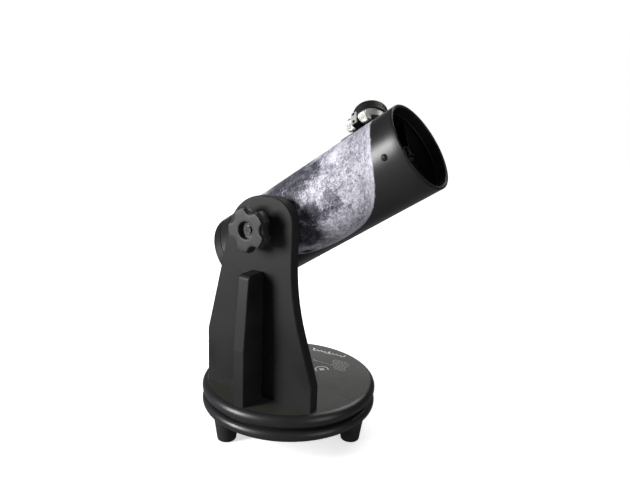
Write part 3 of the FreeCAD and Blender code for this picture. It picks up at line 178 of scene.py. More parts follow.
# ---------------------------------------------------------------------------------------------- surfaces
@dataclass
class Mesh:
    """Points in millimetres and faces, gathered from one or more surfaces."""

    points: Array = field(default_factory=lambda: np.zeros((0, 3)))
    faces: list[list[int]] = field(default_factory=list)

    def add(self, other: "Mesh") -> "Mesh":
        """Appends another mesh.

        Args:
            other: the mesh to append.

        Returns:
            This mesh.
        """
        offset = len(self.points)
        self.points = np.vstack([self.points, other.points])
        self.faces += [[corner + offset for corner in face] for face in other.faces]
        return self

    def outward(self) -> "Mesh":
        """Turns every face of a closed surface outwards, by the sign of the volume that it holds.

        Returns:
            This mesh.
        """
        longest = max(len(face) for face in self.faces)
        padded = np.array([face + [face[-1]] * (longest - len(face)) for face in self.faces])
        corners = self.points[padded]
        first = corners[:, :1]
        wedge = np.cross(corners[:, 1:-1] - first, corners[:, 2:] - first)
        volume = float((wedge * first).sum())
        if volume < 0:
            self.faces = [face[::-1] for face in self.faces]
        return self

    def placed(self, axes: Axes) -> "Mesh":
        """Returns a copy of the mesh moved from a local frame to the object's frame."""
        return Mesh(axes.place(self.points), [list(face) for face in self.faces])


def sheet_mesh(grid: Array, round_rows: bool, round_columns: bool) -> Mesh:
    """Joins a grid of points into quads.

    Args:
        grid: points as rows, columns, xyz.
        round_rows: whether the last row joins the first.
        round_columns: whether the last column joins the first.

    Returns:
        A mesh with one quad for each cell of the grid.
    """
    rows, columns = grid.shape[:2]
    number = np.arange(rows * columns).reshape(rows, columns)
    if round_rows:
        number = np.vstack([number, number[:1]])
    if round_columns:
        number = np.hstack([number, number[:, :1]])
    quads = np.stack([number[:-1, :-1], number[:-1, 1:], number[1:, 1:], number[1:, :-1]], axis=-1)
    return Mesh(grid.reshape(-1, 3), quads.reshape(-1, 4).tolist())


def rounded(corners: list[tuple[float, float, float]], steps: int = 5, loop: bool = True) -> Array:
    """Draws a line through corners and rounds each by its own radius with a tangent arc.

    Args:
        corners: x, y and rounding radius of each corner.
        steps: number of spans in each arc.
        loop: whether the line closes on itself.

    Returns:
        The line's points, as x and y.
    """
    spots = np.array([corner[:2] for corner in corners], float)
    line = []
    for n, (x, y, radius) in enumerate(corners):
        inside = loop or 0 < n < len(corners) - 1
        if radius <= 0 or not inside:
            line.append(np.array([[x, y]]))
            continue
        here = spots[n]
        back = unit(spots[n - 1] - here)
        ahead = unit(spots[(n + 1) % len(spots)] - here)
        half = math.acos(float(np.clip(np.dot(back, ahead), -1, 1))) / 2.0
        reach = radius / math.tan(half)
        centre = here + unit(back + ahead) * radius / math.sin(half)
        start = here + back * reach - centre
        end = here + ahead * reach - centre
        sweep = math.atan2(start[0] * end[1] - start[1] * end[0], float(np.dot(start, end)))
        turn = np.linspace(0.0, sweep, steps + 1)[:, None]
        side = np.array([-start[1], start[0]])
        line.append(centre + start * np.cos(turn) + side * np.sin(turn))
    return np.vstack(line)


def lathe(
    profile: Array, count: int, loop: bool, swell: Optional[Callable[[Array, Array], Array]] = None
) -> Mesh:
    """Turns a profile about Z: a point is (r cos a, r sin a, z) for each profile point and each angle a.

    Args:
        profile: radius and height of each point.  An open profile starts and ends on the axis.
        count: number of steps round the axis.
        loop: whether the profile closes on itself, as a ring's does.
        swell: gives what is added to the radius from the grids of angle and height.

    Returns:
        A closed mesh with its faces outwards.
    """
    radius = profile[:, :1]
    height = profile[:, 1:]
    angle = np.linspace(0.0, TURN, count, endpoint=False)[None, :]
    reach = radius + np.zeros_like(angle)
    if swell is not None:
        reach = reach + swell(angle + np.zeros_like(height), height + np.zeros_like(angle)) * (radius > TINY)
    grid = np.stack([reach * np.cos(angle), reach * np.sin(angle), height + np.zeros_like(reach)], axis=-1)
    if loop:
        return sheet_mesh(grid, True, True).outward()
    body = sheet_mesh(grid[1:-1], False, True)
    first = len(body.points)
    body.points = np.vstack([body.points, grid[0, :1], grid[-1, :1]])
    ring = np.arange(count)
    after = np.roll(ring, -1)
    last = first - count
    fan = np.stack([np.full(count, first), after, ring], axis=-1)
    lid = np.stack([np.full(count, first + 1), last + ring, last + after], axis=-1)
    body.faces += fan.tolist() + lid.tolist()
    return body.outward()


def ribbon(line: Array, width: float, height: float) -> Mesh:
    """A flat band of a given width that follows a line in the XY plane.

    Args:
        line: the middle of the band, as x and y.
        width: the band's width.
        height: the band's height above the plane.

    Returns:
        A closed, very thin band.
    """
    along = np.gradient(line, axis=0)
    along /= np.linalg.norm(along, axis=1, keepdims=True)
    side = np.stack([-along[:, 1], along[:, 0]], axis=1) * width / 2.0
    edge = np.stack([line + side, line + side, line - side, line - side], axis=1)
    level = np.broadcast_to(np.array([0.0, height, height, 0.0]), (len(line), 4))
    band = sheet_mesh(np.concatenate([edge, level[..., None]], axis=-1), False, True)
    last = len(band.points) - 4
    band.faces += [[0, 1, 2, 3], [last + 3, last + 2, last + 1, last]]
    return band.outward()


def polygon(outline: Array, low: float, high: float) -> Mesh:
    """A prism on a closed outline in the XY plane.

    Args:
        outline: x and y of the corners.
        low: height of its underside.
        high: height of its top.

    Returns:
        A closed prism.
    """
    count = len(outline)
    flat = np.stack([outline, outline])
    level = np.array([low, high])[:, None, None] + np.zeros((2, count, 1))
    prism = sheet_mesh(np.concatenate([flat, level], axis=-1), False, True)
    prism.faces += [list(range(count))[::-1], list(range(count, 2 * count))]
    return prism.outward()


def screw_head(radius: float, height: float, rings: int = 14, count: int = 56) -> Mesh:
    """A pan head with a cross recess, as a height over a polar grid.

    The dome falls as a superellipse of the radius, and the recess goes down where either cross arm's
    half width reaches the point, with sloped walls.

    Args:
        radius: the head's radius.
        height: the head's height above its seat at zero.
        rings: number of steps from the middle to the rim.
        count: number of steps round the head.

    Returns:
        A closed head.
    """
    share = np.linspace(0.0, 1.0, rings)[:, None]
    angle = np.linspace(0.0, TURN, count, endpoint=False)[None, :]
    x = share * np.cos(angle)
    y = share * np.sin(angle)
    dome = height * (1.0 - share**4) ** 0.5 * (0.35 + 0.65 * (1.0 - share**2) ** 0.5)
    dome = np.maximum(dome, 0.0) + np.zeros_like(x)
    arm = np.minimum(np.abs(x) * 5.0 + np.abs(y) * 1.1, np.abs(y) * 5.0 + np.abs(x) * 1.1)
    recess = np.clip((0.72 - arm) * 3.2, 0.0, 1.0)
    top = np.maximum(dome - recess * height * 0.6, 0.0)
    grid = np.stack([x * radius, y * radius, top], axis=-1)
    body = sheet_mesh(grid[1:], False, True)
    first = len(body.points)
    body.points = np.vstack([body.points, grid[0, :1], [[0.0, 0.0, 0.0]]])
    ring = np.arange(count)
    after = np.roll(ring, -1)
    last = first - count
    fan = np.stack([np.full(count, first), after, ring], axis=-1)
    lid = np.stack([np.full(count, first + 1), last + ring, last + after], axis=-1)
    body.faces += fan.tolist() + lid.tolist()
    return body.outward()


def thread_swell(pitch: float, depth: float) -> Callable[[Array, Array], Array]:
    """Returns a helical ridge: a triangle wave of height less the share of a turn, for lathe().

    Args:
        pitch: the rise of one turn.
        depth: the depth of the groove.

    Returns:
        A function of angle and height for lathe().
    """

    def swell(angle: Array, height: Array) -> Array:
        """Returns what the thread takes off the radius at each angle and height."""
        phase = (height / pitch - angle / TURN) % 1.0
        return -depth * np.abs(2.0 * phase - 1.0)

    return swell


def knurl_swell(count: int, depth: float, power: float = 1.0) -> Callable[[Array, Array], Array]:
    """Returns straight grooves along the axis: a rectified cosine of the angle, for lathe().

    Args:
        count: the number of grooves.
        depth: the depth of a groove.
        power: above one it makes the grooves narrower.

    Returns:
        A function of angle and height for lathe().
    """

    def swell(angle: Array, height: Array) -> Array:
        """Returns what the grooves take off the radius at each angle."""
        return -depth * np.abs(np.cos(angle * count / 2.0)) ** power + 0.0 * height

    return swell


# ---------------------------------------------------------------------------------------------- node trees
class Tree:
    """A small writer for one shader node tree."""

    def __init__(self, tree: bpy.types.NodeTree) -> None:
        """Keeps the tree to write in."""
        self.tree = tree

    def add(self, kind: str, inputs: Optional[dict[Any, Any]] = None, **settings: Any) -> bpy.types.Node:
        """Adds a node.

        Args:
            kind: the node's type, without the leading ShaderNode.
            inputs: socket name or number to a constant or to another node's socket.
            settings: attributes of the node.

        Returns:
            The new node.
        """
        node = self.tree.nodes.new("ShaderNode" + kind)
        for name, value in settings.items():
            setattr(node, name, value)
        for key, value in (inputs or {}).items():
            self.feed(node.inputs[key], value)
        return node

    def feed(self, socket: bpy.types.NodeSocket, value: Any) -> None:
        """Links a socket to another, or sets its constant.

        Args:
            socket: the input to set.
            value: a socket to link from, or a constant.
        """
        if isinstance(value, bpy.types.NodeSocket):
            self.tree.links.new(value, socket)
        elif isinstance(value, tuple) and len(value) == 3 and socket.type == "RGBA":
            socket.default_value = (*value, 1.0)
        else:
            socket.default_value = value

    def math(self, operation: str, *values: Any, clamp: bool = False) -> bpy.types.NodeSocket:
        """Returns the result of a Math node on constants or sockets."""
        node = self.add("Math", dict(enumerate(values)), operation=operation, use_clamp=clamp)
        return node.outputs[0]

    def vector(self, operation: str, *values: Any, scale: Any = None) -> bpy.types.Node:
        """Returns a Vector Math node on constants or sockets.

        Args:
            operation: the node's operation.
            values: constants or sockets, in order.
            scale: the scale, where the operation has one.

        Returns:
            The new node.
        """
        node = self.add("VectorMath", dict(enumerate(values)), operation=operation)
        if scale is not None:
            self.feed(node.inputs["Scale"], scale)
        return node

    def span(self, value: Any, low: float, high: float, to_low: float = 0.0, to_high: float = 1.0) -> Any:
        """Returns a value carried smoothly from one range to another."""
        inputs = {0: value, 1: low, 2: high, 3: to_low, 4: to_high}
        return self.add("MapRange", inputs, interpolation_type="SMOOTHSTEP").outputs[0]

    def blend(self, share: Any, first: Any, second: Any) -> bpy.types.NodeSocket:
        """Returns a colour between two, by a share from 0 to 1."""
        node = self.add("Mix", {0: share, 6: first, 7: second}, data_type="RGBA")
        return node.outputs[2]

    def noise(self, where: Any, scale: Any, detail: float = 4.0, rough: float = 0.55) -> bpy.types.NodeSocket:
        """Returns fractal noise at a place."""
        inputs = {"Vector": where, "Scale": scale, "Detail": detail, "Roughness": rough}
        return self.add("TexNoise", inputs).outputs["Fac"]

    def objects(self, axes: Optional[Axes] = None) -> bpy.types.NodeSocket:
        """Returns Object coordinates, taken into a local frame if one is given.

        Args:
            axes: the local frame, or nothing for the object's own.

        Returns:
            The place as a socket.
        """
        here = self.add("TexCoord").outputs["Object"]
        if axes is None:
            return here
        place = {"Vector": here, "Location": tuple(axes.origin * MM), "Rotation": axes.rotation()}
        return self.add("Mapping", place, vector_type="TEXTURE").outputs[0]


class Socket(Enum):
    """Kinds of socket that an effect can have."""

    NUMBER = "NodeSocketFloat"
    PLACE = "NodeSocketVector"


class Effect:
    """A shader node group that is built once and placed in many materials."""

    def __init__(self, name: str, inputs: dict[str, tuple[Socket, Any]], outputs: dict[str, Socket]) -> None:
        """Makes the group and its sockets.

        Args:
            name: the group's name.
            inputs: each input's kind and default value.
            outputs: each output's kind.
        """
        self.group = bpy.data.node_groups.new(name, "ShaderNodeTree")
        for label, (kind, default) in inputs.items():
            made = self.group.interface.new_socket(name=label, in_out="INPUT", socket_type=kind.value)
            if default is not None:
                made.default_value = default
        for label, kind in outputs.items():
            self.group.interface.new_socket(name=label, in_out="OUTPUT", socket_type=kind.value)
        self.tree = Tree(self.group)
        self.given = self.group.nodes.new("NodeGroupInput").outputs
        self.result = self.group.nodes.new("NodeGroupOutput").inputs

    def put(self, tree: Tree, inputs: dict[str, Any]) -> dict[str, bpy.types.NodeSocket]:
        """Places the effect in a material.

        Args:
            tree: the material's tree.
            inputs: the values or sockets that it is given.

        Returns:
            The effect's outputs by name.
        """
        node = tree.tree.nodes.new("ShaderNodeGroup")
        node.node_tree = self.group
        for label, value in inputs.items():
            tree.feed(node.inputs[label], value)
        return {out.name: out for out in node.outputs}


class Effects:
    """The shared effects: moulded grain, lathe-turned lines, rubbed edges lightened as painted highlights, and
    settled dust.
    """

    def __init__(self) -> None:
        """Builds every group once."""
        self.grain = self.make_grain()
        self.turned = self.make_turned()
        self.rub_highlight_effect = self.make_rub_highlight()
        self.dust = self.make_dust()

    @staticmethod
    def make_grain() -> Effect:
        """A fine pebbled skin: small Voronoi cells broken up by noise, with a slow cloud over them.

        Returns:
            The effect.
        """
        effect = Effect(
            "moulded_grain",
            {"Place": (Socket.PLACE, None), "Size": (Socket.NUMBER, 1200.0), "Cloud": (Socket.NUMBER, 14.0)},
            {"Shade": Socket.NUMBER, "Relief": Socket.NUMBER},
        )
        tree, given = effect.tree, effect.given
        cells = tree.add("TexVoronoi", {"Vector": given["Place"], "Scale": given["Size"]}, feature="SMOOTH_F1")
        speck = tree.noise(given["Place"], given["Size"], 3.0, 0.6)
        cloud = tree.noise(given["Place"], given["Cloud"], 3.0, 0.5)
        relief = tree.math("MULTIPLY_ADD", cells.outputs["Distance"], 0.55, tree.math("MULTIPLY", speck, 0.45))
        shade = tree.math("MULTIPLY_ADD", cloud, 0.6, tree.math("MULTIPLY", speck, 0.4))
        tree.feed(effect.result["Relief"], relief)
        tree.feed(effect.result["Shade"], tree.span(shade, 0.32, 0.68))
        return effect

    @staticmethod
    def make_turned() -> Effect:
        """Fine rings left by turning: noise read at the distance from the local Z axis and at the height.

        Returns:
            The effect.
        """
        effect = Effect(
            "turned_lines",
            {"Place": (Socket.PLACE, None), "Pitch": (Socket.NUMBER, 4000.0)},
            {"Lines": Socket.NUMBER},
        )
        tree, given = effect.tree, effect.given
        parts = tree.add("SeparateXYZ", {0: given["Place"]}).outputs
        square = tree.math("ADD", tree.math("POWER", parts[0], 2.0), tree.math("POWER", parts[1], 2.0))
        reach = tree.math("SQRT", square)
        ring = tree.add("CombineXYZ", {0: reach, 1: parts[2], 2: 0.0}).outputs[0]
        tree.feed(effect.result["Lines"], tree.noise(ring, given["Pitch"], 2.0, 0.5))
        return effect

    @staticmethod
    def make_rub_highlight() -> Effect:
        """Rubbed edges and painted edge highlights: a paler colour where the surface turns within a small width,
        broken up by noise.

        Returns:
            The effect.
        """
        effect = Effect(
            "edge_rubbing",
            {"Place": (Socket.PLACE, None), "Width": (Socket.NUMBER, 0.0009)},
            {"Mask": Socket.NUMBER},
        )
        tree, given = effect.tree, effect.given
        soft = tree.add("Bevel", {"Radius": given["Width"]}, samples=4).outputs[0]
        hard = tree.add("NewGeometry").outputs["Normal"]
        match = tree.vector("DOT_PRODUCT", soft, hard).outputs["Value"]
        edge = tree.span(tree.math("SUBTRACT", 1.0, match), 0.01, 0.16)
        patch = tree.span(tree.noise(given["Place"], 260.0, 5.0, 0.65), 0.38, 0.62)
        tree.feed(effect.result["Mask"], tree.math("MULTIPLY", edge, patch, clamp=True))
        return effect

    @staticmethod
    def make_dust() -> Effect:
        """Thin dust that settles on faces that look up, in soft patches with a few bright specks.

        Returns:
            The effect.
        """
        effect = Effect("settled_dust", {"Place": (Socket.PLACE, None)}, {"Mask": Socket.NUMBER})
        tree, given = effect.tree, effect.given
        normal = tree.add("NewGeometry").outputs["Normal"]
        upward = tree.span(tree.add("SeparateXYZ", {0: normal}).outputs[2], 0.3, 1.0)
        patch = tree.span(tree.noise(given["Place"], 22.0, 4.0, 0.6), 0.4, 0.75)
        speck = tree.add("TexVoronoi", {"Vector": given["Place"], "Scale": 330.0}).outputs["Distance"]
        grit = tree.span(speck, 0.0, 0.12, 1.0, 0.0)
        cover = tree.math("MULTIPLY_ADD", grit, 0.7, tree.math("MULTIPLY", patch, 0.3))
        tree.feed(effect.result["Mask"], tree.math("MULTIPLY", upward, cover, clamp=True))
        return effect


# ---------------------------------------------------------------------------------------------- finishes
class Skin(Enum):
    """How a finish's surface is worked."""

    MOULDED = "moulded"
    TURNED = "turned"
    GLASS = "glass"


@dataclass(frozen=True)
class Finish:
    """One material: its colour and how it varies, its skin and its gloss."""

    colour: Colour
    pale: Colour
    skin: Skin = Skin.MOULDED
    grain: float = 1500.0
    relief: float = 0.00004
    roughness: float = 0.5
    rough_spread: float = 0.08
    metallic: float = 0.0
    specular: float = 0.5
    coat: float = 0.0
    coat_roughness: float = 0.2
    # The next two fields lighten the edges towards a paler colour: rubbed wear and a painted edge highlight
    # together.
    rub_highlight: float = 0.0
    rub_highlight_colour: Colour = (0.12, 0.12, 0.12)
    dust: float = 0.0


FINISHES: dict[str, Finish] = {
    "board_laminate": Finish(
        (0.026, 0.026, 0.021), (0.040, 0.040, 0.033), grain=1700.0, relief=0.00003, roughness=0.30,
        rough_spread=0.10, specular=0.5, dust=0.05,
    ),
    "arm_laminate": Finish(
        (0.004, 0.004, 0.0042), (0.016, 0.016, 0.0165), grain=1250.0, relief=0.00010, roughness=0.56,
        rough_spread=0.20, specular=0.24, rub_highlight=0.45, rub_highlight_colour=(0.085, 0.085, 0.088), dust=0.03,
    ),
    "edge_moulding": Finish(
        (0.010, 0.010, 0.011), (0.017, 0.017, 0.019), grain=1900.0, relief=0.00002, roughness=0.36,
        rough_spread=0.08, specular=0.45, rub_highlight=0.15, rub_highlight_colour=(0.05, 0.05, 0.05),
    ),
    "foot_rubber": Finish(
        (0.016, 0.016, 0.016), (0.028, 0.028, 0.028), grain=1500.0, relief=0.00006, roughness=0.62,
        rough_spread=0.12, specular=0.3, dust=0.04,
    ),
    "zinc_steel": Finish(
        (0.50, 0.50, 0.48), (0.66, 0.65, 0.62), Skin.TURNED, grain=5200.0, relief=0.00001, roughness=0.32,
        metallic=1.0, rub_highlight=0.3, rub_highlight_colour=(0.8, 0.8, 0.78),
    ),
    "black_steel": Finish(
        (0.010, 0.010, 0.011), (0.020, 0.020, 0.022), grain=2600.0, relief=0.00002, roughness=0.34,
        metallic=0.4, rub_highlight=0.5, rub_highlight_colour=(0.12, 0.12, 0.12),
    ),
    "dark_steel": Finish(
        (0.030, 0.030, 0.031), (0.075, 0.074, 0.072), Skin.TURNED, grain=5200.0, relief=0.00001, roughness=0.26,
        metallic=0.9, rub_highlight=0.5, rub_highlight_colour=(0.55, 0.55, 0.54),
    ),
    "nylon": Finish(
        (0.66, 0.64, 0.56), (0.78, 0.76, 0.70), grain=1100.0, relief=0.00003, roughness=0.46,
    ),
    "knob_plastic": Finish(
        (0.012, 0.012, 0.013), (0.024, 0.024, 0.026), grain=1500.0, relief=0.00005, roughness=0.44,
        rough_spread=0.10, specular=0.32, rub_highlight=0.6, rub_highlight_colour=(0.15, 0.15, 0.155),
    ),
    "black_plastic": Finish(
        (0.007, 0.007, 0.007), (0.012, 0.012, 0.013), grain=1900.0, relief=0.00003, roughness=0.44,
        rough_spread=0.08, specular=0.26, rub_highlight=0.35, rub_highlight_colour=(0.06, 0.06, 0.06), dust=0.02,
    ),
    "black_paint": Finish(
        (0.004, 0.004, 0.004), (0.008, 0.008, 0.008), grain=2200.0, relief=0.00003, roughness=0.6,
        specular=0.2,
    ),
    # flat black for the parts in the tube's mouth, darkened past real paint as painted shade
    "flat_black_with_painted_shade": Finish(
        (0.0018, 0.0018, 0.0018), (0.0036, 0.0036, 0.0036), grain=2200.0, relief=0.00003, roughness=0.7,
        specular=0.10,
    ),
    "mirror_coat": Finish(
        (0.86, 0.87, 0.88), (0.92, 0.93, 0.94), grain=600.0, relief=0.0, roughness=0.03,
        rough_spread=0.02, metallic=1.0,
    ),
    "bright_metal": Finish(
        (0.54, 0.54, 0.505), (0.70, 0.70, 0.665), Skin.TURNED, grain=5200.0, relief=0.00001, roughness=0.38,
        metallic=0.2, rub_highlight=0.25, rub_highlight_colour=(0.9, 0.9, 0.88),
    ),
    "drawtube_metal": Finish(
        (0.30, 0.30, 0.28), (0.44, 0.44, 0.41), Skin.TURNED, grain=4800.0, relief=0.00001, roughness=0.36,
        metallic=0.35, rub_highlight=0.3, rub_highlight_colour=(0.6, 0.6, 0.58),
    ),
    "cover_metal": Finish(
        (0.55, 0.55, 0.53), (0.70, 0.70, 0.67), Skin.TURNED, grain=4200.0, relief=0.00001, roughness=0.36,
        metallic=0.35,
    ),
    "brass": Finish(
        (0.50, 0.34, 0.13), (0.62, 0.45, 0.20), Skin.TURNED, grain=5000.0, relief=0.00001, roughness=0.3,
        metallic=1.0,
    ),
    "white_ink": Finish(
        (0.82, 0.83, 0.80), (0.90, 0.91, 0.88), grain=2400.0, relief=0.00001, roughness=0.5,
    ),
    "lens_glass": Finish((0.80, 0.90, 0.86), (0.86, 0.93, 0.95), Skin.GLASS, roughness=0.02),
}


class Paintshop:
    """Makes one material for each finish, and for each local frame that a turned finish is read in."""

    def __init__(self, effects: Effects) -> None:
        """Keeps the shared effects and starts with no material made."""
        self.effects = effects
        self.made: dict[str, bpy.types.Material] = {}

    def start(self, name: str) -> tuple[bpy.types.Material, Tree, bpy.types.Node]:
        """Starts an empty material with a Principled shader.

        Args:
            name: the material's name.

        Returns:
            The material, its tree and its shader.
        """
        material = bpy.data.materials.new(name)
        material.use_nodes = True
        material.node_tree.nodes.clear()
        tree = Tree(material.node_tree)
        shader = tree.add("BsdfPrincipled")
        output = tree.add("OutputMaterial")
        tree.feed(output.inputs["Surface"], shader.outputs[0])
        return material, tree, shader

    def get(self, name: str, axes: Optional[Axes] = None, label: str = "") -> bpy.types.Material:
        """Returns the material of a finish, made when it is first asked for.

        Args:
            name: the finish's name.
            axes: the frame whose Z is the turning axis of a turned finish.
            label: what tells this frame's material from the others of the same finish.

        Returns:
            The material.
        """
        key = name + ("_" + label if label else "")
        if key not in self.made:
            self.made[key] = self.build(key, FINISHES[name], axes)
        return self.made[key]

    def build(self, name: str, finish: Finish, axes: Optional[Axes]) -> bpy.types.Material:
        """Builds a finish's material: a varied colour, a varied gloss and a relief, with edges lightened as rubbed
        wear and painted highlight, and dusted.

        Args:
            name: the material's name.
            finish: the finish that it shows.
            axes: the local frame that it is read in.

        Returns:
            The material.
        """
        material, tree, shader = self.start(name)
        place = tree.objects(axes)
        grain = self.effects.grain.put(tree, {"Place": place, "Size": finish.grain})
        colour = tree.blend(grain["Shade"], finish.colour, finish.pale)
        relief = grain["Relief"]
        if finish.skin is Skin.TURNED:
            lines = self.effects.turned.put(tree, {"Place": place, "Pitch": finish.grain})["Lines"]
            colour = tree.blend(lines, finish.colour, finish.pale)
            relief = lines
        # painted edge highlight: edges are blended towards a paler colour, standing for rubbed wear and for light
        # caught on the edges
        if finish.rub_highlight > 0:
            mask = self.effects.rub_highlight_effect.put(tree, {"Place": place})["Mask"]
            colour = tree.blend(tree.math("MULTIPLY", mask, finish.rub_highlight), colour, finish.rub_highlight_colour)
        if finish.dust > 0:
            mask = self.effects.dust.put(tree, {"Place": place})["Mask"]
            colour = tree.blend(tree.math("MULTIPLY", mask, finish.dust), colour, (0.30, 0.29, 0.27))
        rough = tree.span(grain["Shade"], 0.0, 1.0, finish.roughness - finish.rough_spread / 2.0,
                          finish.roughness + finish.rough_spread / 2.0)
        tree.feed(shader.inputs["Base Color"], colour)
        tree.feed(shader.inputs["Roughness"], rough)
        shader.inputs["Metallic"].default_value = finish.metallic
        shader.inputs["Specular IOR Level"].default_value = finish.specular
        shader.inputs["Coat Weight"].default_value = finish.coat
        shader.inputs["Coat Roughness"].default_value = finish.coat_roughness
        if finish.skin is Skin.GLASS:
            shader.inputs["Transmission Weight"].default_value = 1.0
            shader.inputs["IOR"].default_value = 1.52
        if finish.relief > 0:
            bump = {"Height": relief, "Distance": finish.relief, "Strength": 1.0}
            tree.feed(shader.inputs["Normal"], tree.add("Bump", bump).outputs[0])
        return material


# ---------------------------------------------------------------------------------------------- workshop
class Workshop:
    """Writes meshes as pieces of the object and dresses CAD nodes."""

    def __init__(self, model: Model, paint: Paintshop) -> None:
        """Keeps the model and the finishes."""
        self.model = model
        self.paint = paint

    def piece(
        self,
        name: str,
        mesh: Mesh,
        body: str,
        slot: str,
        material: bpy.types.Material,
        replaces: tuple[str, ...] = (),
        sharp: float = 38.0,
    ) -> bpy.types.Object:
        """Writes a mesh as a piece that rides on a body.

        Args:
            name: the piece's name.
            mesh: the piece in the object's frame, in millimetres.
            body: the CAD body that it moves with.
            slot: the record's material slot that its finish comes from; not used.
            material: the material that it wears.
            replaces: the CAD nodes that it stands for.
            sharp: the angle in degrees past which an edge between faces stays crisp.

        Returns:
            The new object.
        """
        data = bpy.data.meshes.new(name)
        data.from_pydata((mesh.points * MM).tolist(), [], mesh.faces)
        data.validate()
        data.polygons.foreach_set("use_smooth", np.ones(len(data.polygons), bool))
        data.set_sharp_from_angle(angle=math.radians(sharp))
        data.materials.append(material)
        made = bpy.data.objects.new(name, data)
        bpy.context.scene.collection.objects.link(made)
        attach(made, body)
        if replaces:
            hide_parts(*replaces)
        log.info("piece %s: %d faces on %s", name, len(data.polygons), body)
        return made

    def dress(self, node: str, material: Optional[bpy.types.Material] = None) -> None:
        """Gives a CAD node a finish.

        Args:
            node: the CAD node's name.
            material: the material, or the plain finish of the node's own slot if it is left out.
        """
        wear = material or self.paint.get(self.model.slot_of(node))
        data = self.model.nodes[node].data
        data.materials.clear()
        data.materials.append(wear)
        log.info("finish %s on %s", wear.name, node)


# ---------------------------------------------------------------------------------------------- moon print
@dataclass(frozen=True)
class Patch:
    """A soft feature of the printed moon, placed by station along the tube and angle round it."""

    station: float
    angle: float
    radius: float
    strength: float


